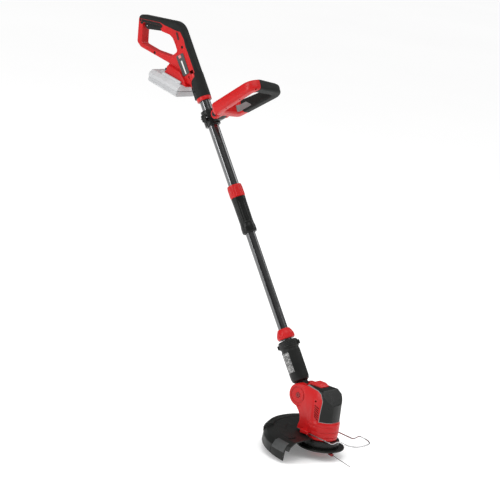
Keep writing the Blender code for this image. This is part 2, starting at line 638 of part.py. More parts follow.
def head_form(name, less, home, finish):
    side = prism(name, rounded(inset(HEAD_SIDE, less), 2), -60, 60, home, finish)
    keep(side, prism(name + "_plan", head_plan(less), 0, 200, home, None, axis="Z"))
    rings = [(0, BASE_BOTTOM + less)]
    for radius, height in BASE_RINGS:
        rings.append((radius - less, min(max(height, BASE_BOTTOM + less), BASE_TOP - less)))
    rings.append((0, BASE_TOP - less))
    return join(side, turned(name + "_drum", rings, home, None, 36))


def build_housing_half(name, side, home, base, finish):
    shell = head_form(name, 0.0, base, finish)
    hollow = head_form(name + "_hollow", WALL, base, None)
    cut(shell, hollow, prism(name + "_cover", rounded(COVER_EDGE, 2), -80, 80, base, None))
    cut(shell, rod(name + "_mouth", 20, 20, 60, base, None, sides=20))
    for sign in (-1, 1):
        lug = prism(f"{name}_lug{sign}", LUG, *sorted((sign * 30.0, sign * 47.5)), base, None, 1.0)
        join(shell, lug)
    cut(shell, wire_legs(name + "_wire_bore", base, 2.0))
    cheeks = rod(name + "_cheeks", KNUCKLE_R, -CHEEK_HALF, CHEEK_HALF, home, None, "Y", 28, edge=2.0)
    join(shell, cheeks)
    cut(shell, rod(name + "_swing", KNUCKLE_R + 2.2, -TONGUE_HALF, TONGUE_HALF, home, None, "Y", 28))
    cut(shell, rod(name + "_pin_hole", 4.4, -50, 50, home, None, "Y", 12))
    bay = PEDAL_HALF + 0.5
    cut(shell, box(name + "_pedal_bay", (-56.5, -bay, 151), (-6, bay, 180), base, None))
    return keep(shell, box(name + "_side", (-120, side[0], 0), (120, side[1], 220), base, None))


def build_head(mats):
    home = frame("head_frame", PIVOT)
    base = frame("housing_frame", (0, 0, 0))
    build_housing_half("motor_housing_right", (-90, -0.15), home, base, mats["red"])
    build_housing_half("motor_housing_left", (0.15, 90), home, base, mats["red"])
    build_cover(base, mats["black"])
    turned("pivot_pin", bolt_profile(4.0, 30.4, 33.0), home, mats["dark_red"], 12, "Y")
    prism("tilt_pedal", rounded(PEDAL, 2), -PEDAL_HALF, PEDAL_HALF, base, mats["red"], 2.0)
    rod("motor", 21.0, 86, 134, base, mats["steel"], sides=20, edge=2)


def cover_form(name, less, low, base, finish):
    """The motor bay's plan carried up under a sloping front and sloping sides."""
    form = prism(name, head_plan(less + 0.5), low, 200, base, finish, axis="Z")
    front = prism(name + "_front", rounded(inset(COVER_FRONT, less), 2), -80, 80, base, None)
    sides = prism(name + "_sides", rounded(inset(COVER_SIDES, less), 2), -120, 80, base, None, axis="X")
    return keep(form, front, sides)


def build_cover(base, finish):
    cover = cover_form("motor_cover", 0.0, 81, base, finish)
    bay = PEDAL_HALF + 0.5
    cut(cover, cover_form("motor_cover_hollow", WALL, 70, base, None))
    cut(cover, box("motor_cover_bay", (-56.5, -bay, 151), (-6, bay, 180), base, None))
    return keep(cover, prism("motor_cover_edge", rounded(inset(COVER_EDGE, GAP), 2), -80, 80, base, None))


# --- line head, guard and wire guard -------------------------------------------------------------
LINE_ANGLE = math.radians(-21.0)
LINE_START = 62.3
LINE_FREE = 78.0                       # length of the line that stands out of the eyelet
LINE_Z = 6.2


def build_line_head(mats):
    home = frame("line_head_frame", (0, 0, 0))
    shank = [(0, 12), (4, 12), (4, 60), (8, 62), (8, 78), (4, 80), (4, 83.6), (0, 83.6)]
    turned("spindle", shank, home, mats["steel"], 16)
    cap = [(13, 14), (13, 10), (56, 9), (DISC_R - 1, 10.5), (DISC_R, 12), (DISC_R, 14), (DISC_R - 1, 15),
           (50, 15)]
    disc = turned("spool_cap", cap, home, mats["black"], 36)
    corners = [(-10, -2.4, 2.2), (10, -2.4, 2.2), (10, 2.4, 2.2), (-10, 2.4, 2.2)]
    slot = prism("cap_slot", rounded(corners), 0, 30, home, None, axis="Z")
    slot.location = Vector((24.0, -44.0, 0.0)) * MM
    slot.rotation_euler = (0, 0, math.radians(28))
    cut(disc, slot)
    drum = [(5, 32.5), (5, 29), (42, 29), (42, 15.4), (46, 15.4), (46, 31), (44, 32.5)]
    turned("spool_housing", drum, home, mats["black"], 28)
    spool = [(14, 15.6), (40, 15.6), (40, 17), (22, 17), (22, 26), (40, 26), (40, 27.4), (14, 27.4)]
    turned("spool", spool, home, mats["grey"], 24)
    knob = [(0, 0), (14, 0), (17.5, 2), (18, 7), (12.4, 9), (12.4, 12.5), (10, 14), (6, 14), (6, 10.5),
            (0, 10.5)]
    turned("tap_knob", knob, home, mats["red"], 24)
    turns = 3
    coil = [(9 * math.cos(a), 9 * math.sin(a), 16.2 + 11 * a / (2 * math.pi * turns)) for a in
            [2 * math.pi * k / 10 for k in range(10 * turns + 1)]]
    wire("tap_spring", coil, 0.7, home, mats["steel"], 1)


def line_route():
    """The nylon line: out of the eyelet, then a free end that droops and trails a little."""
    out = Vector((math.cos(LINE_ANGLE), math.sin(LINE_ANGLE), 0))
    aside = Vector((-out.y, out.x, 0))
    points = []
    for k in range(13):
        t = k / 12
        droop = Vector((0, 0, LINE_Z - 3.0 * t * t))
        points.append(out * (LINE_START + LINE_FREE * t) + aside * (5.0 * t * t) + droop)
    return points


def build_line(mats):
    home = frame("line_frame", (0, 0, 0))
    eyelet = box("line_eyelet", (46, -4, 3.0), (62, 4, 8.7), home, mats["dark_red"], 1.0)
    eyelet.rotation_euler = (0, 0, LINE_ANGLE)
    wire("cutting_line", line_route(), 0.8, home, mats["line"], 1)


GUARD_TILT = 3.0                        # the guard rises toward the rear
SKIRT_TILT = 4.0                        # and its skirt reaches lower toward its front ends
GUARD_FROM = 112                        # its left end, in degrees about the spindle
GUARD_SWEEP = 155
CUTTER_ANGLE = math.radians(264)
RIDGE_FROM = 164                        # the raised ridge on its shoulder
RIDGE_SWEEP = 50


def build_guard(mats):
    home = frame("guard_frame", (0, 0, 0), -GUARD_TILT)
    skin = [(42, 34.6), (42, 37.6), (60, 37.6), (84, 41), (120, 41.5), (139, 34), (GUARD_R, 22),
            (GUARD_R + 1.5, -16), (GUARD_R - 1, -16), (GUARD_R - 2.6, 21), (137.5, 31.5), (119, 38.8),
            (84, 38), (62, 34.6)]
    hood = turned("guard", skin, home, mats["black"], 24, start=GUARD_FROM, sweep=GUARD_SWEEP)
    ridge = [(122, 38), (127, 44.5), (140, 43.5), (149, 32), (147.5, 18), (142, 28), (136, 33)]
    join(hood, turned("guard_ridge", ridge, home, None, 10, start=RIDGE_FROM, sweep=RIDGE_SWEEP))
    join(hood, box("guard_boss", (-58, -24, 36), (-44.5, 24, 41), home, None, 1.5))
    below = box("guard_trim", (-300, -300, -90), (300, 300, 0), home, None)
    below.location = Vector((-GUARD_R, 0, 6)) * MM
    below.rotation_euler = (0, math.radians(SKIRT_TILT), 0)
    cut(hood, below)
    knife = box("line_cutter", (-10, -0.5, 6), (7, 0.5, 18), home, mats["steel"])
    knife.location = Vector((136 * math.cos(CUTTER_ANGLE), 136 * math.sin(CUTTER_ANGLE), 0)) * MM
    knife.rotation_euler = (0, 0, CUTTER_ANGLE)


WIRE_HALF = 43.2
WIRE_Z = 41.0
WIRE_SLOPE = 0.0752                     # the legs fall toward the front


def wire_side(sign):
    """One leg, from its rear end to the front bar's corner."""
    rise = [(-48, WIRE_Z + 116 * WIRE_SLOPE), (68, WIRE_Z), (84, WIRE_Z + 13), (110, WIRE_Z + 10.5)]
    leg = [Vector((x, sign * WIRE_HALF, z)) for x, z in rise]
    return leg + [Vector((128, sign * 31, WIRE_Z + 9)), Vector((132, sign * 10, WIRE_Z + 8.5))]


def wire_legs(name, home, radius):
    """A cutter along both straight legs."""
    made = None
    for sign in (-1, 1):
        rear, front = wire_side(sign)[:2]
        length = (front - rear).length
        leg = rod(f"{name}{sign}", radius, -40 - length / 2, length / 2, home, None, "X", 10)
        leg.location = (rear + front) / 2 * MM
        leg.rotation_euler = (0, math.atan(WIRE_SLOPE), 0)
        made = leg if made is None else join(made, leg)
    return made


def build_wire_guard(mats):
    home = frame("wire_guard_frame", (0, 0, 0))
    path = wire_side(-1) + list(reversed(wire_side(1)))
    wire("wire_guard", bend(path, 6), 1.5, home, mats["steel"], 1)


def main():
    clear_scene()
    mats = make_materials()
    build_handle(mats)
    build_trigger(mats)
    build_battery(mats)
    build_shaft(mats)
    build_clamp(mats)
    build_loop(mats)
    build_swivel(mats)
    build_head(mats)
    build_line_head(mats)
    build_line(mats)
    build_guard(mats)
    build_wire_guard(mats)
    bpy.context.view_layer.update()


main()
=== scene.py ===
"""Looks of the cordless grass trimmer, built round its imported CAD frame.

Shapes are made in millimetres in the CAD's own frame: +X forward, +Y the machine's left, +Z the
spindle's axis. A finished piece is scaled to metres and rides on its CAD body.
"""

from math import asin, atan, copysign, cos, hypot, pi, radians, sin, tan

import bmesh
import bpy
from mathutils import Matrix, Vector


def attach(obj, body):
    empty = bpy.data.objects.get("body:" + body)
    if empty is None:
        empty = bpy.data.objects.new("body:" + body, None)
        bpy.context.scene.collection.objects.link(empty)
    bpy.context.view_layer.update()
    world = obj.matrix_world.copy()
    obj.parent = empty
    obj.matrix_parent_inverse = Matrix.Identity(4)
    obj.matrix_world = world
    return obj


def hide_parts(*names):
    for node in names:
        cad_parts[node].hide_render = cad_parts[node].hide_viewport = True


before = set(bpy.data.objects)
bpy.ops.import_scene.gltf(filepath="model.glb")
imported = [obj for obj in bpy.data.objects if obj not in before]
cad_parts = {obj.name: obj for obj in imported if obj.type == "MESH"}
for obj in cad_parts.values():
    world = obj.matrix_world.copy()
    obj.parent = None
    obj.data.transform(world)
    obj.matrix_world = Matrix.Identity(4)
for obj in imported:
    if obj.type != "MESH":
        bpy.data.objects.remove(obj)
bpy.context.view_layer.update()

MM = 0.001
GAP = 0.3  # clearance round a moulding's neighbours
SIDES = (-1, 1)  # the machine's right and left

# --- dimensions that the CAD fixes ---
LEAN = radians(34.2)
PIVOT = Vector((-68, 0, 128))
UP_SHAFT = Vector((-sin(LEAN), 0, cos(LEAN)))
ACROSS = Vector((cos(LEAN), 0, sin(LEAN)))
HANDLE_END = 797  # heights along the shaft, from the knuckle
RING_TOP = 810
CLAMP_MID = 752
LOOP_HINGE = 35  # the loop's hinge and far end, from the shaft's axis
LOOP_REACH = 215
LOOP_HALF = 61
TUBE_BORE = 14.3  # radius of every bore that slides on the upper tube
NOSE_BORE = 12.9  # radius of every bore that slides on the lower tube
BOLT_BORE = 4.4
WIRE_SIDE = 43.2  # the wire guard's legs: half their distance apart, rise and ends
WIRE_SLOPE = 0.0752
WIRE_FRONT = (68, 41)
WIRE_REAR = (-48, 41 + 116 * WIRE_SLOPE)


def on_shaft(height):
    return PIVOT + UP_SHAFT * height


def turn(degrees):
    """A turn about the spindle's axis."""
    return Matrix.Rotation(radians(degrees), 4, "Z")


def spot(origin, lean=0):
    return Matrix.Translation(Vector(origin)) @ Matrix.Rotation(-lean, 4, "Y")


BASE = Matrix.Identity(4)
HANDLE = spot(on_shaft(HANDLE_END))
SHAFT = spot(PIVOT, LEAN)
KNUCKLE = spot(PIVOT)
BATTERY = spot((-690, 0, 811), radians(-13))
CLAMP = spot(on_shaft(CLAMP_MID), LEAN)
HINGE = spot(on_shaft(CLAMP_MID - 2) + ACROSS * LOOP_HINGE, LEAN)
RING = HINGE @ Matrix.Rotation(radians(-9), 4, "X")
GUARD = spot((0, 0, 0), radians(-3))


# --- materials ---
class Nodes:
    """Short calls for the nodes of one tree."""

    def __init__(self, tree):
        self.tree = tree

    def node(self, kind, **values):
        made = self.tree.nodes.new("ShaderNode" + kind)
        for key, value in values.items():
            if hasattr(made, key):
                setattr(made, key, value)
            else:
                made.inputs[key.replace("_", " ")].default_value = value
        return made

    def link(self, source, target):
        self.tree.links.new(source, target)
        return self

    def ranged(self, value, low, high, to_low, to_high, **values):
        made = self.node("MapRange", From_Min=low, From_Max=high, To_Min=to_low, To_Max=to_high, **values)
        self.link(value, made.inputs["Value"])
        return made.outputs["Result"]

    def times(self, one, two):
        made = self.node("Math", operation="MULTIPLY")
        self.link(one, made.inputs[0]).link(two, made.inputs[1])
        return made.outputs[0]


class Recipe(Nodes):
    """A procedural material in the making."""

    def __init__(self, name):
        self.mat = bpy.data.materials.new(name)
        self.mat.use_nodes = True
        super().__init__(self.mat.node_tree)
        self.shader = self.tree.nodes["Principled BSDF"]
        self.place = self.node("TexCoord").outputs["Object"]

    def skin(self, colour, roughness=None, normal=None, **values):
        """Feeds the shader's colour, roughness and normal, and sets its plain values."""
        for key, source in (("Base Color", colour), ("Roughness", roughness), ("Normal", normal)):
            if source is not None:
                self.link(source, self.shader.inputs[key])
        for key, value in values.items():
            self.shader.inputs[key.replace("_", " ")].default_value = value
        return self.mat

    def noise(self, scale, detail=3, rough=0.55, place=None):
        made = self.node("TexNoise", Scale=scale, Detail=detail, Roughness=rough)
        self.link(place or self.place, made.inputs["Vector"])
        return made.outputs["Fac"]

    def cloud(self, scale, low=0, high=1, detail=3):
        """Soft noise stretched to run from low to high."""
        return self.ranged(self.noise(scale, detail), 0.3, 0.7, low, high)

    def mapped(self, place, **values):
        made = self.node("Mapping", vector_type="POINT", **values)
        self.link(place, made.inputs["Vector"])
        return made.outputs[0]

    def mixed(self, factor, one, two):
        made = self.node("Mix", data_type="RGBA")
        self.link(factor, made.inputs["Factor"])
        for socket, colour in ((made.inputs[6], one), (made.inputs[7], two)):
            if isinstance(colour, tuple):
                socket.default_value = (*colour, 1)
            else:
                self.link(colour, socket)
        return made.outputs[2]

    def edges(self, radius, low, high):
        """1 on edges, which the plastics paint paler as wear and as a painted edge highlight, and 0 on flat
        faces, from how far a rounded normal leans away.
        """
        soft = self.node("Bevel", samples=4, Radius=radius)
        true = self.node("NewGeometry")
        dot = self.node("VectorMath", operation="DOT_PRODUCT")
        self.link(soft.outputs[0], dot.inputs[0]).link(true.outputs["Normal"], dot.inputs[1])
        return self.ranged(dot.outputs["Value"], low, high, 1, 0)

    def bump(self, height, strength, distance, below=None):
        made = self.node("Bump", Strength=strength, Distance=distance)
        self.link(height, made.inputs["Height"])
        if below is not None:
            self.link(below, made.inputs["Normal"])
        return made.outputs["Normal"]


def plastic(name, dark, light, rough, grain=0.25, size=900, worn_and_lit_edge=None, specular=0.5, coat=0):
    """Moulded plastic: clouded colour, a spark-eroded grain, uneven gloss, and paler edges, part wear and
    part painted edge highlight.
    """
    r = Recipe(name)
    colour = r.mixed(r.cloud(14), dark, light)
    if worn_and_lit_edge:
        patchy = r.ranged(r.noise(220), 0.4, 0.62, 0.15, 0.75)
        # painted edge highlight mixed with edge wear: patches of the edges take the paler colour
        colour = r.mixed(r.times(r.edges(0.0011, 0.82, 0.985), patchy), colour, worn_and_lit_edge)
    fine = r.bump(r.noise(size, 2), grain, 0.00012)
    return r.skin(colour, r.cloud(60, rough - 0.05, rough + 0.07, 4),
                  r.bump(r.noise(26, 1), 0.1, 0.0008, fine),
                  Specular_IOR_Level=specular, Coat_Weight=coat, Coat_Roughness=0.15)


def rubber(name, dark, light):
    """Soft overmoulding: a leathery cell grain, matt, with a faint sheen."""
    r = Recipe(name)
    cells = r.node("TexVoronoi", feature="DISTANCE_TO_EDGE", Scale=640)
    r.link(r.place, cells.inputs["Vector"])
    pits = r.bump(r.ranged(cells.outputs["Distance"], 0, 0.25, 0, 1), 0.35, 0.00018)
    return r.skin(r.mixed(r.cloud(18), dark, light), r.cloud(90, 0.56, 0.7),
                  r.bump(r.noise(1500, 2), 0.25, 0.0001, pits),
                  Sheen_Weight=0.06, Sheen_Roughness=0.4, Specular_IOR_Level=0.22)


def metal(name, dark, light, rough, lean=0, scratch=0.25):
    """Drawn or anodised metal: fine lines along its length, with uneven gloss."""
    r = Recipe(name)
    upright = r.mapped(r.place, Rotation=(0, lean, 0))
    lines = r.noise(1, 3, 0.6, r.mapped(upright, Scale=(500, 500, 6)))
    return r.skin(r.mixed(r.ranged(lines, 0.3, 0.7, 0, 1), dark, light),
                  r.cloud(45, rough - 0.05, rough + 0.08), r.bump(lines, scratch, 0.00005), Metallic=1)


def sticker(name, ground, ink):
    """A printed sticker with rows of plain blocks and no lettering."""
    r = Recipe(name)
    bricks = r.node("TexBrick", offset=0.37, Scale=62, Mortar_Size=0.016, Brick_Width=0.42, Row_Height=0.3,
                    Color1=(0, 0, 0, 1), Color2=(1, 1, 1, 1), Mortar=(0, 0, 0, 1))
    parts = r.node("SeparateXYZ")
    flat = r.node("CombineXYZ")
    r.link(r.mapped(r.place, Rotation=(0, LEAN, 0)), parts.inputs[0])
    r.link(parts.outputs["X"], flat.inputs["X"]).link(parts.outputs["Z"], flat.inputs["Y"])
    r.link(flat.outputs[0], bricks.inputs["Vector"])
    mask = r.times(bricks.outputs["Color"], r.ranged(r.noise(300), 0.45, 0.55, 0, 1))
    return r.skin(r.mixed(mask, ground, ink), r.cloud(80, 0.32, 0.5), r.bump(r.noise(700), 0.08, 0.0001))


def board(name, ground, track):
    """A circuit board with paler tracks."""
    r = Recipe(name)
    cells = r.node("TexVoronoi", distance="MANHATTAN", Scale=260)
    r.link(r.place, cells.inputs["Vector"])
    tracks = r.ranged(cells.outputs["Distance"], 0.3, 0.36, 0, 1)
    return r.skin(r.mixed(tracks, ground, track), r.cloud(90, 0.3, 0.5))


# the last colour given to a plastic is its paler edge colour, part wear and part painted edge highlight
RED = plastic("red_moulded", (0.46, 0.006, 0.007), (0.54, 0.009, 0.01), 0.32, 0.22, 1100,
              (0.62, 0.07, 0.07), specular=0.26, coat=0.05)
DARK_RED = plastic("dark_red_moulded", (0.2, 0.006, 0.008), (0.27, 0.009, 0.01), 0.4, 0.25, 1000,
                   (0.5, 0.08, 0.07))
LOCK_RED = plastic("lock_red", (0.045, 0.004, 0.005), (0.07, 0.006, 0.007), 0.45, 0.25, 1000,
                   (0.25, 0.05, 0.05))
BLACK = plastic("black_moulded", (0.005, 0.0055, 0.005), (0.009, 0.01, 0.009), 0.3, 0.35, 800,
                (0.07, 0.07, 0.07), specular=0.26)
MATT = plastic("black_textured", (0.007, 0.0075, 0.007), (0.012, 0.013, 0.012), 0.42, 0.55, 520,
               (0.08, 0.08, 0.08), specular=0.26)
PANEL = plastic("grey_textured_panel", (0.04, 0.042, 0.042), (0.062, 0.064, 0.064), 0.55, 0.9, 420)
GREY = plastic("grey_moulded", (0.17, 0.17, 0.17), (0.21, 0.21, 0.21), 0.42, 0.3, 900, (0.34, 0.34, 0.34))
SOFT = rubber("soft_black", (0.006, 0.007, 0.0065), (0.011, 0.0125, 0.0115))
PALE = plastic("pale_battery", (0.46, 0.465, 0.475), (0.54, 0.545, 0.555), 0.3, 0.12, 700, coat=0.3)
PALE_LOW = plastic("pale_battery_low", (0.4, 0.405, 0.415), (0.47, 0.475, 0.485), 0.34, 0.12, 700)
CHALK = plastic("pale_print", (0.7, 0.7, 0.68), (0.78, 0.78, 0.76), 0.45, 0.1, 700)
ROSE = plastic("rose_print", (0.62, 0.16, 0.17), (0.7, 0.22, 0.22), 0.45, 0.1, 700)
LABEL = sticker("sleeve_sticker", (0.075, 0.075, 0.075), (0.5, 0.5, 0.49))
TUBE = metal("grey_anodised_tube", (0.13, 0.132, 0.135), (0.18, 0.182, 0.185), 0.16, LEAN, 0.12)
STEEL = metal("bright_steel", (0.52, 0.52, 0.53), (0.7, 0.7, 0.71), 0.22)
DARK_STEEL = metal("blackened_steel", (0.035, 0.035, 0.038), (0.07, 0.07, 0.075), 0.38)
BOARD = board("circuit_board", (0.02, 0.14, 0.05), (0.05, 0.26, 0.1))
NYLON = plastic("cutting_nylon", (0.035, 0.03, 0.03), (0.06, 0.05, 0.05), 0.3, 0.1, 1500)


# --- shapes ---
scrap = []  # working solids, removed at the end


def added(name, data):
    """A new object in the scene."""
    made = bpy.data.objects.new(name, data)
    bpy.context.collection.objects.link(made)
    return made


def solid(bm, home=BASE):
    """A hidden working solid from bm, in millimetres, placed by home."""
    bmesh.ops.remove_doubles(bm, verts=bm.verts[:], dist=1e-4)
    bmesh.ops.dissolve_degenerate(bm, edges=bm.edges[:], dist=1e-4)
    bm.transform(home)
    bmesh.ops.recalc_face_normals(bm, faces=bm.faces[:])
    mesh = bpy.data.meshes.new("work")
    bm.to_mesh(mesh)
    bm.free()
    made = added("work", mesh)
    made.hide_render = True
    scrap.append(made)
    return made


def corner_turns(corners):
    """For each corner, its inward mitre and whether it is convex."""
    count = len(corners)
    area = sum(corners[i - 1][0] * corners[i][1] - corners[i][0] * corners[i - 1][1] for i in range(count))
    side = 1 if area > 0 else -1
    turns = []
    for i, corner in enumerate(corners):
        here = Vector(corner[:2])
        ahead = (Vector(corners[(i + 1) % count][:2]) - here).normalized()
        behind = (here - Vector(corners[i - 1][:2])).normalized()
        normal_a = Vector((-ahead.y, ahead.x)) * side
        normal_b = Vector((-behind.y, behind.x)) * side
        mitre = (normal_a + normal_b) / max(0.35, 1 + normal_a.dot(normal_b))
        turns.append((mitre, side * behind.cross(ahead) > 0))
    return turns


def inset(corners, distance):
    """The same corners moved inward; a convex corner's radius shrinks and a concave one's grows."""
    moved = []
    for (x, z, radius), (mitre, convex) in zip(corners, corner_turns(corners)):
        place = Vector((x, z)) + mitre * distance
        moved.append((place.x, place.y, max(0.02, radius - distance if convex else radius + distance)))
    return moved


def rounded(corners, steps=7):
    """An outline from corners (x, z, radius), each an arc of steps + 1 points."""
    points = []
    count = len(corners)
    for i, (x, z, radius) in enumerate(corners):
        here = Vector((x, z))
        before = Vector(corners[i - 1][:2]) - here
        after = Vector(corners[(i + 1) % count][:2]) - here
        room = 0.48 * min(before.length, after.length)
        before.normalize()
        after.normalize()
        half = 0.5 * before.angle(after, pi)
        reach = min(max(radius, 0.02) / tan(half), room)
        radius = reach * tan(half)
        middle = here + (before + after).normalized() * (radius / sin(half))
        start = here + before * reach - middle
        end = here + after * reach - middle
        sweep = start.angle_signed(end)
        for k in range(steps + 1):
            points.append(tuple(middle + Matrix.Rotation(-sweep * k / steps, 2) @ start))
    return points


def fractions(steps):
    return [k / steps for k in range(steps + 1)]


def rect(x0, z0, x1, z1, radius=0):
    """A rectangle's corners, as slab takes them."""
    return [(x0, z0, radius), (x1, z0, radius), (x1, z1, radius), (x0, z1, radius)]


def band(inner, outer, low, high):
    """A rectangular profile, as turned takes it."""
    return [(inner, low), (outer, low), (outer, high), (inner, high)]


AXES = {
    "Y": lambda a, b, h: (a, h, b),
    "Z": lambda a, b, h: (a, b, h),
    "X": lambda a, b, h: (h, a, b),
}


def skinned(bm, rows):
    """Faces between each row of points and the next."""
    for one, two in zip(rows, rows[1:]):
        for i in range(len(one)):
            j = (i + 1) % len(one)
            bm.faces.new([one[i], one[j], two[j], two[i]])


def loft(rings, axis, home, closed=False):
    """Skin over rings, each a (outline, height) of the same number of points, with flat ends."""
    bm = bmesh.new()
    rows = [[bm.verts.new(AXES[axis](a, b, height)) for a, b in outline] for outline, height in rings]
    skinned(bm, rows + rows[:1] if closed else rows)
    if not closed:
        bm.faces.new(rows[0])
        bm.faces.new(rows[-1])
    return solid(bm, home)


def slab(corners, low, high, home=BASE, edge=0, axis="Y", steps=7, rim=6, edge_high=True):
    """Rounded corners extruded along an axis, with each end's rim rolled over by edge."""
    rings = [(0, low), (0, high)]
    if edge > 0:
        angles = [0.5 * pi * part for part in fractions(rim)]
        rings = [(edge * (1 - cos(t)), low + edge * (1 - sin(t))) for t in reversed(angles)]
        if edge_high:
            rings += [(edge * (1 - cos(t)), high - edge * (1 - sin(t))) for t in angles]
        else:
            rings.append((0, high))
    return loft([(rounded(inset(corners, d), steps), h) for d, h in rings], axis, home)


def block(low, high, home=BASE, edge=0):
    return slab(rect(low[0], low[2], high[0], high[2], edge), low[1], high[1], home, edge, steps=4, rim=3)


def turned(profile, home=BASE, sides=96, axis="Z", start=0, sweep=360, centre=(0, 0, 0), shape=None):
    """A closed profile of (radius, height) turned about an axis, carved by shape(radius, height, angle)."""
    bm = bmesh.new()
    whole = sweep >= 360
    count = sides if whole else sides + 1
    rings = []
    for k in range(count):
        angle = radians(start + sweep * k / sides)
        ring = []
        for radius, height in profile:
            if shape and radius > 0:
                radius = shape(radius, height, angle)
            a, b = radius * cos(angle), radius * sin(angle)
            place = {"Z": (a, b, height), "Y": (b, height, a), "X": (height, a, b)}[axis]
            ring.append(bm.verts.new(Vector(place) + Vector(centre)))
        rings.append(ring)
    size = len(profile)
    for k in range(sides):
        one, two = rings[k], rings[(k + 1) % count]
        for i in range(size):
            j = (i + 1) % size
            beyond = [two[n] for n in (j, i) if profile[n][0] > 0]
            if beyond:
                bm.faces.new([one[i], one[j], *beyond])
    if not whole:
        bm.faces.new(rings[0])
        bm.faces.new(rings[-1])
    return solid(bm, home)


def rod(radius, low, high, home=BASE, axis="Z", sides=64, centre=(0, 0, 0), edge=0):
    profile = band(0, radius, low, high)
    if edge > 0:
        bits = [(sin(0.5 * pi * part), cos(0.5 * pi * part)) for part in fractions(4)]
        bottom = [(radius - edge * (1 - s), low + edge * (1 - c)) for s, c in bits]
        top = [(radius - edge * (1 - s), high - edge * (1 - c)) for s, c in reversed(bits)]
        profile = [(0, low), *bottom, *top, (0, high)]
    return turned(profile, home, sides, axis, centre=centre)


def eased(before, here, after, radius, share, steps):
    """The points of a bend that stands in for the corner at here, taking at most share of each side."""
    back, on = before - here, after - here
    reach = min(radius, share * back.length, share * on.length)
    start, end = here + back.normalized() * reach, here + on.normalized() * reach
    return [start * (1 - t) ** 2 + here * 2 * t * (1 - t) + end * t ** 2 for t in fractions(steps)]


def softened(profile, radius=1, steps=3):
    """A turned profile with each corner rolled over, except those on the axis."""
    points = []
    for i, here in enumerate(profile):
        if here[0] == 0:
            points.append(here)
        else:
            around = [Vector(p) for p in (profile[i - 1], here, profile[(i + 1) % len(profile)])]
            points += [tuple(p) for p in eased(*around, radius, 0.4, steps)]
    return points


def bend(path, radius):
    """A path of 3-D points with each inner corner turned into a bend of that radius."""
    path = [Vector(p) for p in path]
    points = [path[0]]
    for corner in zip(path, path[1:], path[2:]):
        points += eased(*corner, radius, 0.45, 8)
    return [*points, path[-1]]


def combine(target, others, how):
    for other in others:
        step = target.modifiers.new(how, "BOOLEAN")
        step.operation = how
        step.solver = "MANIFOLD"
        step.object = other
    return target


def cut(target, *others):
    return combine(target, others, "DIFFERENCE")


def join(target, *others):
    return combine(target, others, "UNION")


def keep(target, *others):
    return combine(target, others, "INTERSECT")


def piece(name, form, finish, body, node=None, bevel=0.35, smooth=32):
    """Applies a working solid's modifiers, cleans the result and makes it a piece on a body."""
    bpy.context.view_layer.update()
    graph = bpy.context.evaluated_depsgraph_get()
    mesh = bpy.data.meshes.new_from_object(form.evaluated_get(graph))
    bm = bmesh.new()
    bm.from_mesh(mesh)
    bmesh.ops.remove_doubles(bm, verts=bm.verts[:], dist=0.004)
    bmesh.ops.dissolve_degenerate(bm, edges=bm.edges[:], dist=0.002)
    bmesh.ops.dissolve_limit(bm, angle_limit=radians(0.4), verts=bm.verts[:], edges=bm.edges[:])
    for vertex in bm.verts:
        vertex.co *= MM
    bm.to_mesh(mesh)
    bm.free()
    mesh.materials.clear()
    mesh.materials.append(finish)
    mesh.polygons.foreach_set("material_index", [0] * len(mesh.polygons))
    mesh.shade_smooth()
    mesh.set_sharp_from_angle(angle=radians(smooth))
    made = added(name, mesh)
    if bevel > 0:
        step = made.modifiers.new("edges", "BEVEL")
        step.width = bevel * MM
        step.segments = 2
        step.limit_method = "ANGLE"
        step.angle_limit = radians(smooth)
        step.use_clamp_overlap = True
        step.harden_normals = True
    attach(made, body)
    if node:
        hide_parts(node)
    return made


def wire(name, points, radius, finish, body, node, sides=20):
    """A round wire along a path, with pointed ends."""
    bm = bmesh.new()
    rows = []
    side = None
    for i, here in enumerate(points):
        along = (points[min(i + 1, len(points) - 1)] - points[max(i - 1, 0)]).normalized()
        if side is None:
            side = along.orthogonal().normalized()
        side = (side - along * side.dot(along)).normalized()
        other = along.cross(side)
        ring = []
        for k in range(sides):
            angle = 2 * pi * k / sides
            ring.append(bm.verts.new(here + (side * cos(angle) + other * sin(angle)) * radius))
        rows.append(ring)
    skinned(bm, rows)
    for ring, here, away in ((rows[0], points[0], points[1]), (rows[-1], points[-1], points[-2])):
        tip = bm.verts.new(here + (here - away).normalized() * radius * 0.6)
        for k in range(sides):
            bm.faces.new([ring[k], ring[(k + 1) % sides], tip])
    return piece(name, solid(bm), finish, body, node, bevel=0, smooth=60)


# --- rear handle ---
BODY = [(-257, 189, 13), (-110, 190, 42), (7.1, 18, 1), (-23.7, -3, 1), (-49, 36, 5), (-89, 36, 14),
        (-142, 51, 3), (-134, 74, 3), (-130, 79, 4), (-238, 104, 12), (-253, 116, 12)]
OPENING = [(-238, 171, 5), (-176, 170, 3), (-168, 157, 4), (-139, 153, 12), (-127, 147, 8), (-115, 132, 12),
           (-104, 114.5, 6), (-124, 98, 7), (-188, 104, 40), (-234, 115, 7)]
FOOT = [(-124, 76.5, 3), (-128, 74, 3), (-136, 54, 4), (-140, 49, 2), (-55, 29, 1), (-61, 42, 3),
        (-84, 65, 5)]
OVERMOULD = [(-275, 205, 0), (-80, 205, 0), (30, 25, 0), (-20, -14, 0), (-40, 22, 0), (-39, 48, 6),
             (-31, 62, 6), (-41, 77, 10), (-67, 115, 12), (-79, 131, 12), (-88, 149, 10), (-103, 165.5, 8),
             (-123, 167.5, 8), (-141, 171, 8), (-163, 175, 6), (-176, 179, 6), (-250, 178.5, 4),
             (-254, 182, 0), (-275, 186, 0)]
TRIGGER = [(-233, 172, 2), (-178, 172, 3), (-172, 163, 3), (-174, 157, 3), (-225, 154, 5), (-234, 160, 4)]
LOCK = [(-118, 163, 3), (-112, 163, 3), (-103, 144, 3), (-109, 144, 3)]
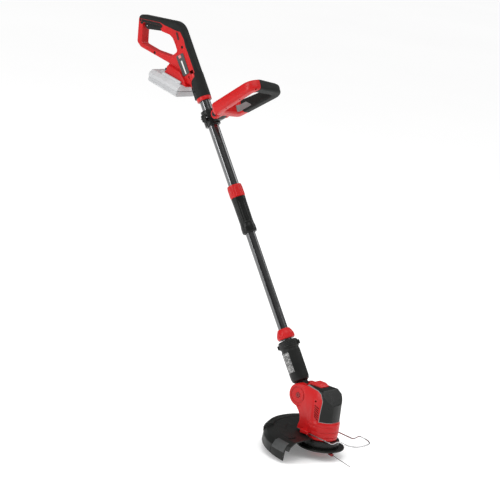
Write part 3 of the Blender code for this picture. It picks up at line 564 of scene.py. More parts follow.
SURROUND = [(-247, 177.4, 2), (-178, 177.6, 4), (-166, 172, 3), (-170, 165, 1.5), (-240, 165, 2),
            (-247, 166, 3)]
TRIGGER_PIVOT = (225, 162.5)  # takes the trigger's outline to its own origin
TRIGGER_HOME = spot(on_shaft(HANDLE_END) + Vector((-TRIGGER_PIVOT[0], 0, TRIGGER_PIVOT[1])))
BODY_HALF = 13
BARREL_R = 19.6
BARREL = (HANDLE_END + 13.5, HANDLE_END + 78)
FOOT_HALF = 21
SKIN = 2  # thickness of the soft overmould
PROUD = 0.5  # how far it stands out of the red shell
SCREW_SPOTS = [(-248, 174, BODY_HALF), (-184, 97.5, BODY_HALF), (-91, 128, BODY_HALF),
               (-132, 64, FOOT_HALF), (-53, 56, BODY_HALF)]
SCREW_HEAD_R = 4.1
SCREW_TIP = 11.5


def barrel(radius):
    return rod(radius, *BARREL, SHAFT, sides=96)


def tube_hole(sides=96):
    return rod(TUBE_BORE, HANDLE_END - 20, HANDLE_END + 90, SHAFT, sides=sides)


def lock_hole():
    return slab(inset(LOCK, -GAP), -30, 30, HANDLE)


def overmould_zone(spare):
    """The space of the soft overmould, clear of the red core by SKIN."""
    core = slab(inset(BODY, SKIN + spare), SKIN + spare - BODY_HALF, BODY_HALF - SKIN - spare, HANDLE, 4)
    join(core, barrel(BARREL_R - SKIN - spare))
    return cut(slab(inset(OVERMOULD, -spare), -28, 28, HANDLE), core)


def handle_half(node, side):
    half = slab(BODY, -BODY_HALF, BODY_HALF, HANDLE, 5)
    join(half, slab(FOOT, -FOOT_HALF, FOOT_HALF, HANDLE, 3), barrel(BARREL_R))
    lip = slab(inset(OPENING, -3.4), -BODY_HALF - 0.9, BODY_HALF + 0.9, HANDLE, 0.8, rim=3)
    join(half, keep(lip, block((-172, -40, 90), (-60, 40, 150), HANDLE)))
    cut(half, slab(OPENING, -40, 40, HANDLE), tube_hole())
    rail = block((-60, -15, 33), (97, 15, 39.5), BATTERY)
    pack = block((-60, -60, -10), (104.6, 60, 33.3), BATTERY)
    cut(half, rail, pack, block((-60, -60, HANDLE_END - 40), (60, 60, RING_TOP + 0.4), SHAFT))
    cut(half, overmould_zone(GAP))
    cut(half, block((-232, -9.3, 150), (-168, 9.3, 180), HANDLE))
    cut(half, block((-170, -8, 159.5), (-136, 8, 176), HANDLE))
    cut(half, block((43, -11.5, 36), (93, 11.5, 48), BATTERY))
    cut(half, lock_hole())
    for x, z, depth in SCREW_SPOTS:
        cut(half, rod(2.1, -40, SCREW_TIP + GAP, HANDLE, "Y", 20, (x, 0, z)))
        cut(half, rod(SCREW_HEAD_R, -40, 4 - depth, HANDLE, "Y", 32, (x, 0, z)))
    low, high = (0.12, 60) if side > 0 else (-60, -0.12)
    keep(half, block((-320, low, -60), (80, high, 260), HANDLE))
    return piece(node + "_shell", half, RED, "rear_handle", node)


def star_shape(radius, height, angle):
    return radius * (0.82 + 0.18 * cos(6 * angle))


def handle_screw(number, x, z, depth):
    """A pan-head screw with a star recess, sunk 1 mm into the shell's right face."""
    face = 1 - depth
    length = SCREW_TIP - face
    profile = [(0, 0), (2.3, 0), (3.1, 0.5), (3.4, 1.2), (3.4, 2.6), (1.8, 2.6), (1.8, length - 0.8),
               (0.9, length), (0, length)]
    made = turned(profile, HANDLE, 40, "Y", centre=(x, face, z))
    star = turned([(0, 1.4), (1.6, 1.4), (1.6, -2), (0, -2)], HANDLE, 24, "Y", centre=(x, face, z),
                  shape=star_shape)
    return piece(f"screw_head_{number}", cut(made, star), DARK_STEEL, "rear_handle", f"handle_screw_{number}",
                 bevel=0)


def build_handle():
    for node, side in (("handle_right", -1), ("handle_left", 1)):
        handle_half(node, side)
    over = overmould_zone(0)
    outer = slab(inset(BODY, -PROUD), -BODY_HALF - PROUD, BODY_HALF + PROUD, HANDLE, 5.6)
    keep(over, join(outer, barrel(BARREL_R + 0.2)))
    cut(over, tube_hole(64), lock_hole())
    cut(over, block((-40, -40, HANDLE_END - 20), (40, 40, RING_TOP + 0.6), SHAFT))
    x, z, _ = SCREW_SPOTS[0]
    cut(over, rod(SCREW_HEAD_R, -40, 0, HANDLE, "Y", 32, (x, 0, z)))
    cut(over, rod(2.6, -30, -BARREL_R + 3.4, HANDLE, "Y", 24, (-25, 0, 24)))
    piece("overmould_soft", over, SOFT, "rear_handle", "grip_overmould", bevel=0.45)
    ring = softened([(TUBE_BORE, RING_TOP - 10), (18.6, RING_TOP - 10), (19.4, RING_TOP - 8.4),
                     (19.4, RING_TOP), (TUBE_BORE, RING_TOP)], 0.7)
    piece("trim_ring", turned(ring, SHAFT), RED, "rear_handle", "handle_ring", bevel=0)
    for number, (x, z, depth) in enumerate(SCREW_SPOTS, 1):
        handle_screw(number, x, z, depth)
    build_badge()
    build_trigger()


def build_badge():
    """The side badge: a dark framed plate with a plain pale stroke and a rose square, no lettering."""
    outline = [(-107, 101, 3), (-85, 114.5, 3), (-54, 67, 4), (-73, 53, 4)]
    face = -BODY_HALF - GAP
    plate = slab(outline, face - 1.2, face, HANDLE, 0.5, rim=3, edge_high=False)
    cut(plate, slab(inset(outline, 1.6), face - 3, face - 0.9, HANDLE))
    piece("badge_plate", plate, PANEL, "rear_handle", "side_badge", bevel=0.15)
    floor = face - 0.9
    start, end = Vector((-86.4, 92.9)), Vector((-64.5, 62.5))
    along = (end - start).normalized()
    aside = Vector((-along.y, along.x))
    stroke = [start + aside * 2.6, end + aside * 1.7, end - aside * 1.7, start - aside * 1.9]
    middle = Vector((-93.6, 102.6))
    square = [middle + aside * a * 4.2 + along * b * 4 for a, b in ((1, -1), (1, 1), (-1, 1), (-1, -1))]
    for name, corners, soft, finish in (("stroke", stroke, 1.2, CHALK), ("square", square, 0.9, ROSE)):
        form = slab([(c.x, c.y, soft) for c in corners], floor - 0.35, floor, HANDLE)
        piece("badge_" + name, form, finish, "rear_handle", bevel=0)


def build_trigger():
    """The trigger with shallow finger ribs, its dark surround, and the ridged lock button."""
    local = [(x + TRIGGER_PIVOT[0], z - TRIGGER_PIVOT[1], r) for x, z, r in TRIGGER]
    lever = slab(local, -8.5, 8.5, TRIGGER_HOME, 1.8)
    join(lever, block((30, -5, 1), (46, 5, 8), TRIGGER_HOME))
    for number in range(9):
        x = 4 + 4.6 * number
        cut(lever, rod(1.1, -6.6, 6.6, TRIGGER_HOME, "Y", 20, (x, 0, -8.9 + 0.06 * x)))
    piece("trigger_lever", lever, BLACK, "trigger", "trigger")
    lock = slab(LOCK, -BODY_HALF - 1.5, -6, HANDLE, 0.8, rim=3, edge_high=False)
    for number in range(4):
        ridge = HANDLE @ Vector((-112.6 + 1.7 * number, -BODY_HALF - 1.6, 158 - 3.6 * number))
        cut(lock, rod(0.6, -9, 9, spot(ridge, radians(-18)), "X", 12))
    piece("lock_ridged", lock, LOCK_RED, "lock_button", "lock_button", bevel=0.1)
    for number, low in enumerate((-BODY_HALF - 0.55, BODY_HALF - 0.15), 1):
        cover = slab(SURROUND, low, low + 0.7, HANDLE)
        cut(cover, slab(inset(OPENING, -0.2), -40, 40, HANDLE))
        cut(cover, rod(5.2, -40, 40, HANDLE, "Y", 32, (-248, 0, 174)))
        piece(f"trigger_surround_{number}", cover, BLACK, "rear_handle", bevel=0.2)


# --- battery ---
BATTERY_LONG = 104
BATTERY_HALF = 37


def pack_plan(low, high, chamfer_low, chamfer_high):
    """One battery shell's outline, seen along the pack, with chamfered long edges."""
    half, soft = BATTERY_HALF, 1.2
    return [(-half, low + chamfer_low, soft), (-half, high - chamfer_high, soft),
            (-half + chamfer_high, high, soft), (half - chamfer_high, high, soft),
            (half, high - chamfer_high, soft), (half, low + chamfer_low, soft),
            (half - chamfer_low, low, soft), (-half + chamfer_low, low, soft)]


def build_battery():
    lower = slab(pack_plan(0, 15, 5, 0.1), -2, BATTERY_LONG, BATTERY, 1.2, "X")
    upper = slab(pack_plan(15.3, 33, 0.1, 9), -5, BATTERY_LONG, BATTERY, 1.2, "X")
    join(upper, block((15, -14.5, 30), (92, 14.5, 38.5), BATTERY, 0.8))
    join(upper, *[block((30, low, 32), (98, low + 6.4, 40.5), BATTERY, 2) for low in (-28, 21.6)])
    cut(upper, block((-20, -13.3, 19.7), (6, 13.3, 29.3), BATTERY))
    cut(upper, *[block((34, y - 1.4, 34), (60, y + 1.4, 40), BATTERY, 0.3) for y in (-7, 0, 7)])
    for number in range(4):
        x = 20 + 18 * number
        cut(lower, *[rod(1.6, -7, 7, BATTERY, "X", 20, (x, s * (BATTERY_HALF + 0.9), 8)) for s in SIDES])
    piece("battery_shell_lower", lower, PALE_LOW, "battery", "battery_lower")
    piece("battery_shell_upper", upper, PALE, "battery", "battery_upper")
    button = block((-7, -13, 20), (-0.5, 13, 29), BATTERY, 1)
    cut(button, *[rod(0.6, -11, 11, BATTERY, "Y", 12, (-7.2, 0, 21.8 + 1.8 * n)) for n in range(4)])
    piece("battery_button_ridged", button, DARK_RED, "battery_button", "battery_button", bevel=0.1)


# --- shaft ---
def ramp(value, low, high):
    t = min(1, max(0, (value - low) / (high - low)))
    return t * t * (3 - 2 * t)


def flutes(inner, depth, count, start, full, fade, gone):
    """A carving shape: shallow flutes outside the inner radius, alive between four heights."""
    def shape(radius, height, angle):
        if radius < inner:
            return radius
        live = ramp(height, start, full) * (1 - ramp(height, fade, gone))
        return radius - depth * live * (0.5 - 0.5 * cos(count * angle)) ** 2
    return shape


def sleeve_grip(radius, height, angle):
    """Lengthwise ribs with cross notches on the black twist sleeve."""
    if radius < 16:
        return radius
    live = ramp(height, 461, 464) * (1 - ramp(height, 517, 521))
    rib = (0.5 + 0.5 * cos(20 * angle)) ** 2
    notch = 0.5 + 0.5 * cos(2 * pi * height / 5.5)
    return radius - 0.9 * live * (1 - rib * (0.45 + 0.55 * notch))


def dense(profile, step):
    """The same profile with long runs split, so that a carving shape has points to move."""
    points = []
    count = len(profile)
    for i, here in enumerate(profile):
        ahead = profile[(i + 1) % count]
        runs = max(1, int(hypot(ahead[0] - here[0], ahead[1] - here[1]) / step))
        if min(here[0], ahead[0]) < 16:
            runs = 1
        for k in range(runs):
            t = k / runs
            points.append((here[0] + (ahead[0] - here[0]) * t, here[1] + (ahead[1] - here[1]) * t))
    return points


def build_shaft():
    tube = [(12.8, 472), (13.6, 472), (14, 472.4), (14, 869.6), (13.6, 870), (12.8, 870)]
    piece("upper_tube_drawn", turned(tube, SHAFT, 128), TUBE, "rear_handle", "upper_tube", bevel=0)
    tube = band(11.3, 12.5, 72, 660)
    piece("lower_tube_drawn", turned(tube, SHAFT, 128), TUBE, "lower_shaft", "lower_tube", bevel=0)
    nut = softened([(TUBE_BORE, 531), (18.8, 531), (19.8, 534), (19.8, 554), (18.6, 564),
                    (TUBE_BORE, 564)], 1.2)
    form = turned(dense(nut, 1.2), SHAFT, 256, shape=flutes(16, 1.1, 16, 533, 536, 556, 561))
    piece("nut_fluted", form, RED, "rear_handle", "telescope_nut", bevel=0)
    sleeve = softened([(14.5, 434), (17.6, 434), (19.2, 437), (19.2, 450), (17.8, 458), (18.4, 524),
                       (18.9, 530), (14.5, 530)], 1)
    form = turned(dense(sleeve, 1.1), SHAFT, 240, shape=sleeve_grip)
    piece("twist_sleeve_ribbed", form, BLACK, "twist_sleeve", "twist_sleeve", bevel=0)


def build_swivel():
    collar = softened([(NOSE_BORE, 145), (21, 145), (23.2, 150), (22.4, 158), (19.4, 165), (15.5, 172),
                       (NOSE_BORE, 172)], 1.5)
    form = turned(dense(collar, 1), SHAFT, 280, shape=flutes(18, 0.8, 28, 149, 151, 156, 159))
    piece("collar_domed", form, RED, "swivel_collar", "swivel_collar", bevel=0)
    sleeve = softened([(0, 31.5), (17, 31.5), (22, 35.5), (23.6, 43), (24, 112), (22.8, 117), (22.8, 120),
                       (25.4, 122), (25.4, 137), (23.5, 140.5), (NOSE_BORE, 140.5), (NOSE_BORE, 70), (0, 70)],
                      0.9)
    body = turned(sleeve, SHAFT, 128)
    join(body, *[block((20, -5, 124), (29.5, 5, 135), SHAFT @ turn(angle), 1.5) for angle in (30, 210)])
    join(body, rod(20, -8.8, 8.8, SHAFT, "Y", 64), block((-14, -8.8, 0), (14, 8.8, 40), SHAFT))
    cut(body, rod(BOLT_BORE, -30, 30, SHAFT, "Y", 32))
    cut(body, *[turned(band(24.9, 27, z - 0.6, z + 0.6), SHAFT, 96) for z in (126, 130, 134)])
    piece("head_sleeve_turned", body, MATT, "sleeve", "head_sleeve")
    label = turned(band(24.35, 24.75, 58, 110), SHAFT, 40, start=-122, sweep=54)
    piece("sleeve_sticker", label, LABEL, "sleeve", "sleeve_label", bevel=0)


# --- auxiliary handle ---
ARM_WIDE = 26
ARM_DEEP = 13.5
LOOP_BASE = 14
CHEEK_IN = 12.6
GRIP_FROM = 52
GRIP_SIDE = -33
CLAMP_SCREW = 24.6  # the clamp's screws, from the middle
BARREL_HALF = 12.2  # the clamp's hinge barrel, inside the loop's cheeks
HINGE_R = 12.5
NEAR_DEEPER = 0.28  # how much deeper the near arm's underside is
FAR_TALLER = 0.5  # how much taller the far arm's inner face is
FAR_FLATTER = 0.3  # how much flatter the far corner's top is


def loop_outline(less):
    """The ring's outline in its own plane, moved inward by less."""
    end = LOOP_REACH - LOOP_HINGE
    half = LOOP_HALF - tan(radians(3.5)) * (end - LOOP_BASE)
    corners = [(LOOP_BASE, -half, 16), (end, -LOOP_HALF, 34), (end, LOOP_HALF, 34), (LOOP_BASE, half, 16)]
    return rounded([(x, y, max(radius, 8)) for x, y, radius in inset(corners, less)], 14)


def ring_form(less, soft=7):
    """The closed ring: a softly crowned section carried round the outline, thinner all round by less."""
    section = []
    low, high, deep = less, ARM_WIDE - less, ARM_DEEP - less
    for across, up, start in ((high, deep, 0), (low, deep, 90), (low, -deep, 180), (high, -deep, 270)):
        centre = (across - copysign(soft, across - 13), up - copysign(soft, up))
        for k in range(7):
            t = radians(start + 90 * k / 6)
            section.append((centre[0] + soft * cos(t), centre[1] + soft * sin(t)))
    made = loft([(loop_outline(a), b) for a, b in section], "Z", BASE, closed=True)
    for vertex in made.data.vertices:
        x, y, z = vertex.co
        if z < 0:
            vertex.co.z = z * (1 + NEAR_DEEPER * ramp(-y, 10, 40) * (1 - ramp(x, 120, 165)))
        else:
            taller = FAR_TALLER * ramp(y, 8, 30) * ramp(x, 10, 30) * (1 - ramp(x, 95, 145))
            vertex.co.z = z * (1 + taller - FAR_FLATTER * ramp(x, 125, 175) * ramp(y, -10, 45))
    made.data.transform(RING)
    return made


def grip_zone(clear):
    end = LOOP_REACH - LOOP_HINGE + 20
    zone = block((GRIP_FROM - clear, 0, -40), (end, 100, 40), RING)
    return join(zone, block((end - 60, GRIP_SIDE - clear, -40), (end, 10, 40), RING))


def build_clamp():
    hinge = (LOOP_HINGE, 0, -2)
    for name, low, high in (("clamp_rear", -60, -0.3), ("clamp_front", 0.3, 80)):
        half = turned(softened(band(TUBE_BORE, 20.5, -21, 21), 1.4), CLAMP)
        join(half, block((-7, -29, -9), (7, 29, 9), CLAMP, 1.5))
        if name == "clamp_front":
            join(half, block((10, -BARREL_HALF, -16), (LOOP_HINGE, BARREL_HALF, 9), CLAMP, 1))
            join(half, rod(HINGE_R, -BARREL_HALF, BARREL_HALF, CLAMP, "Y", 64, hinge, 0.6))
            cut(half, rod(BOLT_BORE, -40, 40, CLAMP, "Y", 32, hinge))
        cut(half, rod(TUBE_BORE, -40, 40, CLAMP, sides=96))
        cut(half, *[rod(2.4, -20, 20, CLAMP, "X", 20, (0, CLAMP_SCREW * s, 0)) for s in SIDES])
        cut(half, *[turned(band(20, 24, z - 0.9, z + 0.9), CLAMP, 96) for z in (-14.5, 14.5)])
        keep(half, block((low, -60, -40), (high, 60, 40), CLAMP))
        piece(name + "_ribbed", half, BLACK, "clamp", name)
    profile = [(0, -10.5), (2.8, -10.5), (3.6, -9.7), (3.6, -7.4), (1.9, -7.4), (1.9, 9.6), (1.5, 10),
               (0, 10)]
    for name, side in (("clamp_screw_right", -1), ("clamp_screw_left", 1)):
        centre = (0, CLAMP_SCREW * side, 0)
        made = turned(profile, CLAMP, 40, "X", centre=centre)
        cut(made, rod(1.6, -14, -9.2, CLAMP, "X", 6, centre))
        piece(name + "_hex", made, STEEL, "clamp", name, bevel=0)


def build_loop():
    for name, low, high in (("loop_lower", -40, -0.15), ("loop_upper", 0.15, 40)):
        ring = ring_form(0)
        for side in SIDES:
            ends = sorted((side * CHEEK_IN, side * 23))
            join(ring, rod(HINGE_R, *ends, HINGE, "Y", 64, edge=0.8),
                 block((0, ends[0], -12), (22, ends[1], 12), HINGE, 1))
        cut(ring, rod(BOLT_BORE, -80, 80, HINGE, "Y", 32), rod(13.6, -CHEEK_IN, CHEEK_IN, HINGE, "Y", 64))
        cut(ring, cut(grip_zone(GAP), ring_form(2.3, 5.5)))
        if name == "loop_lower":
            cut(ring, rod(2.6, -30, -4, RING, "Z", 24, (169.4, -42.9, 0)))
            cut(ring, *[rod(2.4, -30, -9, RING, "Z", 24, (x, y, 0)) for x, y in ((60, -42), (112, -45.5))])
        keep(ring, block((-60, -120, low), (LOOP_REACH + 40, 120, high), RING))
        piece(name + "_moulded", ring, RED, "loop", name)
    grip = cut(ring_form(-0.4, 7.2), ring_form(2, 5.5))
    keep(grip, grip_zone(0))
    piece("loop_grip_soft", grip, SOFT, "loop", "loop_grip", bevel=0.45)
    patch = slab([(86, -8.5, 2), (70, 6.5, 2), (16, 8.5, 2), (34, -9.5, 2)], 20, 60, RING)
    keep(patch, cut(ring_form(-0.9), ring_form(1)))
    piece("loop_patch_textured", patch, GREY, "loop", bevel=0.15)
    bolt = [(0, -26.5), (5.4, -26.5), (6.5, -25.6), (6.5, -23.4), (4, -23.4), (4, 23.4), (6.5, 23.4),
            (6.5, 25.6), (5.4, 26.5), (0, 26.5)]
    made = turned(bolt, HINGE, 48, "Y")
    cut(made, rod(2.2, -30, -24.6, HINGE, "Y", 6))
    piece("loop_bolt_hex", made, DARK_STEEL, "clamp", "loop_bolt", bevel=0.15)


# --- cutting head ---
BASE_BOTTOM = 33
BASE_TOP = 80
BASE_SKIRT = [(0, 33), (37.6, 33), (39.2, 34.6), (39.6, 41.4), (38.6, 42), (38.6, 42.8), (40.3, 43.4),
              (40.8, 54.2), (39.9, 54.8), (39.9, 55.7), (41.3, 56.4), (41.6, 68.2), (40.9, 69),
              (41.6, 69.8), (41.6, 76.6), (39.6, 80), (0, 80)]
BAY_R = 40
HEAD_TOP = 161.5
HEAD_SIDE = [(-80, 108, 8), (-84, 140, 10), (-62, 157, 10), (-34, 158.6, 8), (-6, 156, 6), (60, 154, 0),
             (60, 44, 0), (-56, 44, 2), (-57, 52, 3), (-52, 65, 6), (-54, 79, 5), (-62, 90, 3), (-70, 98, 4)]
COVER_EDGE = [(-44, 185, 0), (80, 185, 0), (80, 81, 0), (12, 81, 0), (12.6, 104, 20), (15.4, 138, 12),
              (5.4, 150.4, 8), (-7, 156, 5), (-33, 158.8, 4), (-44, 159.4, 0)]
COVER_FRONT = [(-60, 20, 0), (36.5, 20, 0), (36.5, 126, 4), (8, 158.5, 5), (-6, HEAD_TOP, 5),
               (-60, HEAD_TOP, 0)]
COVER_SIDES = [(-44, 20, 0), (44, 20, 0), (39, 137, 6), (30, 158, 5), (20, HEAD_TOP, 5), (-20, HEAD_TOP, 5),
               (-30, 158, 5), (-39, 137, 6)]
NECK_HALF = 28.5
FLANK_HALF = 37
VENT_LOWEST = -38  # slope of the lowest vent slot, in degrees
VENT_STEP = 3.2
CHEEK_HALF = 30
TONGUE_HALF = 9.4
LUG = [(-34, 43.2, 1), (-8, 43.2, 1), (-8, 51.5, 2), (-34, 53, 2)]
PEDAL = [(-50, 155, 2), (-54, 161, 4), (-38, 168.5, 9), (-20, 168, 6), (-8, 161.5, 3), (-12, 155, 3)]


def head_plan(less, low, high, neck_half=NECK_HALF):
    """The plan of a round motor bay with a narrower neck behind it, as a solid."""
    radius = BAY_R - less
    neck = neck_half - less
    meet = asin((FLANK_HALF - less) / radius)
    angles = [meet - pi + (2 * pi - 2 * meet) * k / 96 for k in range(97)]
    rear = -98 + less
    outline = [(-62, neck), (rear + 6, neck - 1.4), (rear, neck - 7), (rear, 7 - neck),
               (rear + 6, 1.4 - neck), (-62, -neck)]
    outline += [(radius * cos(a), radius * sin(a)) for a in angles]
    return loft([(outline, low), (outline, high)], "Z", BASE)


def head_form(less):
    side = slab(inset(HEAD_SIDE, less), -60, 60)
    keep(side, head_plan(less, 0, 200), slab(inset(COVER_SIDES, less - 0.4), -120, 80, axis="X"))
    if less > 0:
        low, high = BASE_BOTTOM + less, BASE_TOP - less
        return join(side, turned([(0, low), (36.5, low), (37, high), (0, high)]))
    return join(side, turned(softened(BASE_SKIRT, 0.5, 2), sides=128))


def pedal_bay():
    return block((-56.5, -17.5, 151), (-6, 17.5, 180))


def housing_half(node, half):
    shell = head_form(0)
    lip = cut(head_plan(-1.6, 44.2, 47.6, NECK_HALF + 0.2), block((-26, -80, 20), (90, 80, 90)))
    join(shell, keep(lip, block((-56.5, -60, 30), (90, 60, 80))))
    cut(shell, head_form(2.6), slab(COVER_EDGE, -80, 80), rod(20, 20, 60))
    join(shell, *[slab(LUG, *sorted((side * 30, side * 47.5)), BASE, 1) for side in SIDES])
    for side in SIDES:
        rear = Vector((WIRE_REAR[0], side * WIRE_SIDE, WIRE_REAR[1]))
        home = Matrix.Translation(rear) @ Matrix.Rotation(atan(WIRE_SLOPE), 4, "Y")
        cut(shell, rod(2, -60, 120, home, "X", 24))
    join(shell, rod(29, -CHEEK_HALF, CHEEK_HALF, KNUCKLE, "Y", 96, edge=3))
    for side in SIDES:
        ends = sorted((side * (CHEEK_HALF - 1.4), side * (CHEEK_HALF + 4)))
        cut(shell, turned(band(18.2, 21.6, *ends), KNUCKLE, 96, "Y"))
    cut(shell, rod(31.2, -TONGUE_HALF, TONGUE_HALF, KNUCKLE, "Y", 96), rod(7.2, -50, 50, KNUCKLE, "Y", 48))
    cut(shell, pedal_bay())
    for number in range(6):
        rise = number / 5
        slope = radians(VENT_LOWEST + VENT_STEP * number)
        home = spot((3.6 - 1.6 * rise, 0, 89.8 + 28.4 * rise), slope)
        vent = rect(-8, -1.3, 8, 1.3, 1.2)
        cut(shell, *[slab(vent, *sorted((side * 31, side * 48)), home) for side in SIDES])
    cut(shell, *[rod(2.7, -60, -34, BASE, "Y", 24, (x, 0, z)) for x, z in ((-3.5, 131.2), (31.4, 66.8))])
    low, high = (0.12, 90) if half > 0 else (-90, -0.12)
    keep(shell, block((-120, low, 0), (120, high, 220)))
    return piece(node + "_moulded", shell, RED, "head", node, bevel=0.6)


def cover_form(less, low):
    """The motor bay's plan carried up under a sloping front and sloping sides."""
    form = head_plan(less + 0.5, low, 200)
    front = slab(inset(COVER_FRONT, less), -80, 80)
    return keep(form, front, slab(inset(COVER_SIDES, less), -120, 80, axis="X"))


def build_head():
    for node, half in (("motor_housing_right", -1), ("motor_housing_left", 1)):
        housing_half(node, half)
    bay = pedal_bay()
    cover = cut(cover_form(0, 81), cover_form(2.6, 70), bay)
    keep(cover, slab(inset(COVER_EDGE, 1.3), -80, 80))
    piece("motor_cover_faceted", cover, BLACK, "head", "motor_cover", bevel=0.9, smooth=30)
    seal = cut(slab(inset(COVER_EDGE, 0.15), -80, 80), slab(inset(COVER_EDGE, 1.25), -80, 80))
    keep(seal, cut(cover_form(-0.4, 81.2), cover_form(2, 70), bay))
    piece("cover_seal", seal, GREY, "head", bevel=0)
    pin = [(0, -31.2), (2, -31.2), (5.6, -31.2), (6.5, -30.4), (6.5, -26), (4, -26), (4, 26), (6.5, 26),
           (6.5, 30.4), (5.6, 31.2), (0, 31.2)]
    made = turned(pin, KNUCKLE, 48, "Y")
    cut(made, *[turned(band(0, 2.2, side * 29.6, side * 40), KNUCKLE, 24, "Y", shape=star_shape)
                for side in SIDES])
    piece("pivot_pin_star", made, DARK_RED, "head", "pivot_pin", bevel=0.2)
    pedal = slab(PEDAL, -17, 17, BASE, 3.2)
    cut(pedal, *[rod(0.9, -13, 13, BASE, "Y", 16, (-38 + 5.5 * n, 0, 168.6)) for n in range(4)])
    piece("tilt_pedal_ribbed", pedal, RED, "tilt_pedal", "tilt_pedal", bevel=0.4)


# --- line head, guard and wire guard ---
LINE_ANGLE = -21
LINE_Z = 6.2
LINE_LONG = 78


def knob_ribs(radius, height, angle):
    return radius - (0.7 if radius > 16 and height > 1.5 else 0) * (0.5 - 0.5 * cos(20 * angle))


def build_line_head():
    cap = softened([(13, 14), (13, 10), (56, 9), (59.5, 10.5), (60.5, 12), (60.5, 14), (59.5, 15),
                    (50, 15)], 0.5)
    disc = turned(cap, sides=160)
    cut(disc, slab(rect(-10, -2.4, 10, 2.4, 2.2), 0, 30, spot((24, -44, 0)) @ turn(28), axis="Z"))
    cut(disc, *[slab(rect(30, -2, 48, 2, 1.9), 13.2, 30, turn(angle), axis="Z") for angle in (95, 190, 285)])
    piece("spool_cap_disc", disc, BLACK, "line_head", "spool_cap", bevel=0.3)
    drum = softened([(5, 32.5), (5, 29), (42, 29), (42, 15.4), (46, 15.4), (46, 31), (44, 32.5)], 0.6)
    piece("spool_drum", turned(drum, sides=128), BLACK, "line_head", "spool_housing", bevel=0)
    knob = softened([(0, 0), (14, 0), (17.5, 2), (18, 7), (12.4, 9), (12.4, 12.5), (10, 14), (6, 14),
                     (6, 10.5), (0, 10.5)], 0.8)
    form = turned(dense(knob, 1), BASE, 160, shape=knob_ribs)
    piece("tap_knob_ribbed", form, RED, "tap_knob", "tap_knob", bevel=0)
    home = turn(LINE_ANGLE)
    eyelet = block((46, -4, 3), (62, 4, 8.7), home, 1.2)
    cut(eyelet, rod(1.3, 40, 70, home, "X", 20, (0, 0, LINE_Z)))
    piece("line_eyelet_bored", eyelet, DARK_RED, "line_head", "line_eyelet", bevel=0.2)
    out = Vector((cos(radians(LINE_ANGLE)), sin(radians(LINE_ANGLE)), 0))
    aside = Vector((-out.y, out.x, 0))
    path = [out * (62.3 + LINE_LONG * t) + aside * (5 * t * t) + Vector((0, 0, LINE_Z - 3 * t * t))
            for t in fractions(40)]
    wire("cutting_line_round", path, 0.8, NYLON, "line_head", "cutting_line", sides=14)


GUARD_FROM = 112  # angles round the spindle, in degrees
GUARD_SWEEP = 163
SKIRT_END = 270.5  # the skirt stops here, a little short of the deck above it
PANEL_FROM = 252.5
PANEL_SWEEP = 17.4
CUTTER_AT = 264
HOOD = [(42, 34.6), (42, 37.6), (60, 37.6), (84, 41), (120, 41.5), (139, 34), (147, 22), (148.5, -16),
        (146, -16), (144.4, 21), (137.5, 31.5), (119, 38.8), (84, 38), (62, 34.6)]
RIDGE = [(122, 38), (127, 44.5), (140, 43.5), (149, 32), (147.5, 18), (142, 28), (136, 33)]
LOW_BAND = [(90, 39), (92, 42.2), (96, 43.4), (112, 43.6), (117, 42.6), (119, 39)]
GROOVE = [(130, 42), (141, 38), (150.5, 23), (150.5, -16), (147.4, -16), (146, 21.4), (138.2, 32.9),
          (129, 36.6)]
PANEL_FACE = [(130, 37.2), (131, 38.2), (139.8, 34.8), (148, 22.4), (148.6, 17), (146.6, 17),
              (146.4, 21.6), (138.6, 33)]


def build_guard():
    hood = turned(softened(HOOD, 2, 4), GUARD, 160, start=GUARD_FROM, sweep=GUARD_SWEEP)
    join(hood, turned(softened(RIDGE, 2, 4), GUARD, 76, start=150, sweep=64))
    join(hood, turned(softened(LOW_BAND, 1.5, 3), GUARD, 76, start=196, sweep=66))
    join(hood, block((-58, -24, 36), (-44.5, 24, 41), GUARD, 1.5))
    below = GUARD @ Matrix.Translation((-147, 0, 6)) @ Matrix.Rotation(radians(4), 4, "Y")
    cut(hood, block((-300, -300, -90), (300, 300, 0), below))
    cut(hood, turned(band(100, 200, -60, 23), GUARD, 12, start=SKIRT_END, sweep=12))
    cut(hood, turned(GROOVE, GUARD, 4, start=PANEL_FROM - 1.6, sweep=0.9))
    piece("guard_moulded", hood, MATT, "head", "guard", bevel=0.5)
    panel = turned(softened(PANEL_FACE, 0.6), GUARD, 24, start=PANEL_FROM, sweep=PANEL_SWEEP)
    piece("guard_panel_textured", panel, PANEL, "head", bevel=0.3)
    knife = block((126, -0.5, 6), (143, 0.5, 18), turn(CUTTER_AT))
    piece("line_cutter_blade", knife, DARK_STEEL, "head", "line_cutter", bevel=0.15)


def build_wire_guard():
    path = []
    for side in SIDES:
        leg = [Vector((x, side * WIRE_SIDE, z)) for x, z in (WIRE_REAR, WIRE_FRONT, (84, 54), (110, 51.5))]
        leg += [Vector((128, side * 31, 50)), Vector((132, side * 10, 49.5))]
        path += leg if side < 0 else list(reversed(leg))
    wire("wire_guard_bent", bend(path, 7), 1.5, STEEL, "wire_guard", "wire_guard")


# --- carried-over CAD parts ---
KEPT = {
    "handle_lead": BLACK, "coiled_lead": BLACK, "switch_unit": BLACK, "terminal_block": BLACK,
    "collet": BLACK, "control_board": BOARD, "battery_board": BOARD, "trigger_pin": STEEL,
    "cell_pack": STEEL, "motor": STEEL, "spindle": STEEL, "tap_spring": STEEL, "spool": GREY,
}


def dress_kept_nodes():
    for name, finish in KEPT.items():
        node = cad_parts[name]
        node.data.materials.clear()
        node.data.materials.append(finish)


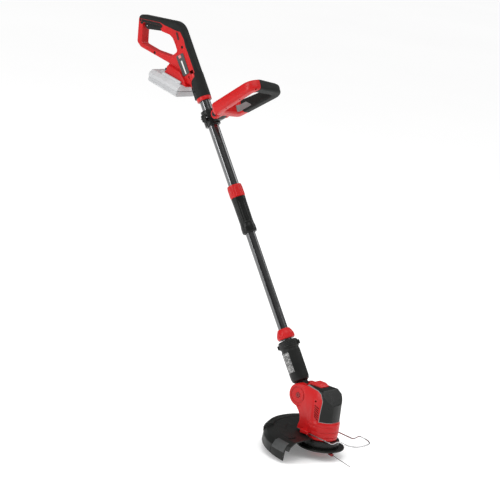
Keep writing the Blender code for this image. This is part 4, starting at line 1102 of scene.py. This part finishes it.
# --- floor, lights and camera ---
FLOOR_SIZE = 60
FLOOR_DROP = 0.012  # below the origin, so that the tilted guard doesn't cut it
FLOOR_GLOW = 0.16
ROOM_LOW, ROOM_HIGH = 0.16, 0.95  # the room's brightness at the horizon and above
GLOSS_DIM = 0.25  # how bright the room looks in reflections
AIM = Vector((-0.3, 0, 0.44))
LIGHTS = [  # azimuth, elevation, distance, size, power
    ("key_left", -21, 22, 3.2, (0.55, 2.6), 34),
    ("fill_right", 105, 18, 3.4, (0.9, 2.4), 10),
    ("top", 40, 72, 3.4, (2.2, 2.2), 30),
    ("rim_back", 159, 36, 3.6, (1.8, 1.2), 16),
]
VIEW_AZIMUTH, VIEW_ELEVATION, VIEW_ROLL = 38.8314, 12.1933, -7.4323
VIEW_CENTRE = Vector((-0.3052, 0, 0.4433))
VIEW_DISTANCE = 5
VIEW_LENS = 140.774


def toward(azimuth, elevation):
    """The direction from the object to a place that many degrees round from its right side, and up."""
    a, e = radians(azimuth), radians(elevation)
    return Vector((sin(a) * cos(e), -cos(a) * cos(e), sin(e)))


def floor():
    bm = bmesh.new()
    bmesh.ops.create_grid(bm, x_segments=8, y_segments=8, size=FLOOR_SIZE)
    mesh = bpy.data.meshes.new("floor")
    bm.to_mesh(mesh)
    bm.free()
    r = Recipe("pale_floor")
    mesh.materials.append(r.skin(r.mixed(r.cloud(0.6), (0.93, 0.93, 0.93), (0.95, 0.95, 0.95)), Roughness=0.9,
                                 Specular_IOR_Level=0, Emission_Color=(1, 1, 1, 1),
                                 Emission_Strength=FLOOR_GLOW))
    made = added("floor", mesh)
    made.location = (0, 0, -FLOOR_DROP)


def room():
    """A pale room that grows brighter upward and looks dimmer in reflections."""
    world = bpy.data.worlds.new("studio")
    bpy.context.scene.world = world
    world.use_nodes = True
    w = Nodes(world.node_tree)
    parts = w.node("SeparateXYZ")
    w.link(w.node("TexCoord").outputs["Generated"], parts.inputs[0])
    rise = w.ranged(parts.outputs["Z"], 0.05, 0.6, ROOM_LOW, ROOM_HIGH, interpolation_type="SMOOTHSTEP")
    gloss = w.node("LightPath").outputs["Is Glossy Ray"]
    background = w.tree.nodes["Background"]
    w.link(w.times(rise, w.ranged(gloss, 0, 1, 1, GLOSS_DIM)), background.inputs["Strength"])
    background.inputs["Color"].default_value = (1, 1, 1, 1)


def softbox(name, azimuth, elevation, distance, size, power):
    away = toward(azimuth, elevation)
    light = bpy.data.lights.new(name, "AREA")
    light.shape = "RECTANGLE"
    light.size, light.size_y = size
    light.energy = power
    made = added(name, light)
    made.location = AIM + away * distance
    made.rotation_mode = "QUATERNION"
    made.rotation_quaternion = away.to_track_quat("Z", "Y")


def studio():
    floor()
    room()
    for light in LIGHTS:
        softbox(*light)
    bpy.context.scene.view_settings.view_transform = "Standard"
    bpy.context.scene.view_settings.look = "None"


def camera():
    back = toward(VIEW_AZIMUTH, VIEW_ELEVATION)
    roll = radians(VIEW_ROLL)
    right = Vector((cos(radians(VIEW_AZIMUTH)), sin(radians(VIEW_AZIMUTH)), 0))
    up = back.cross(right)
    across = right * cos(roll) - up * sin(roll)
    upward = right * sin(roll) + up * cos(roll)
    data = bpy.data.cameras.new("camera")
    data.sensor_width = 36
    data.lens = VIEW_LENS
    data.clip_end = 200
    made = added("camera", data)
    facing = Matrix((across, upward, back)).transposed().to_4x4()
    made.matrix_world = Matrix.Translation(VIEW_CENTRE + back * VIEW_DISTANCE) @ facing
    bpy.context.scene.camera = made


def main():
    camera()
    studio()
    build_handle()
    build_battery()
    build_shaft()
    build_swivel()
    build_clamp()
    build_loop()
    build_head()
    build_line_head()
    build_guard()
    build_wire_guard()
    dress_kept_nodes()
    for thing in scrap:
        bpy.data.objects.remove(thing, do_unlink=True)


main()
bpy.context.view_layer.update()
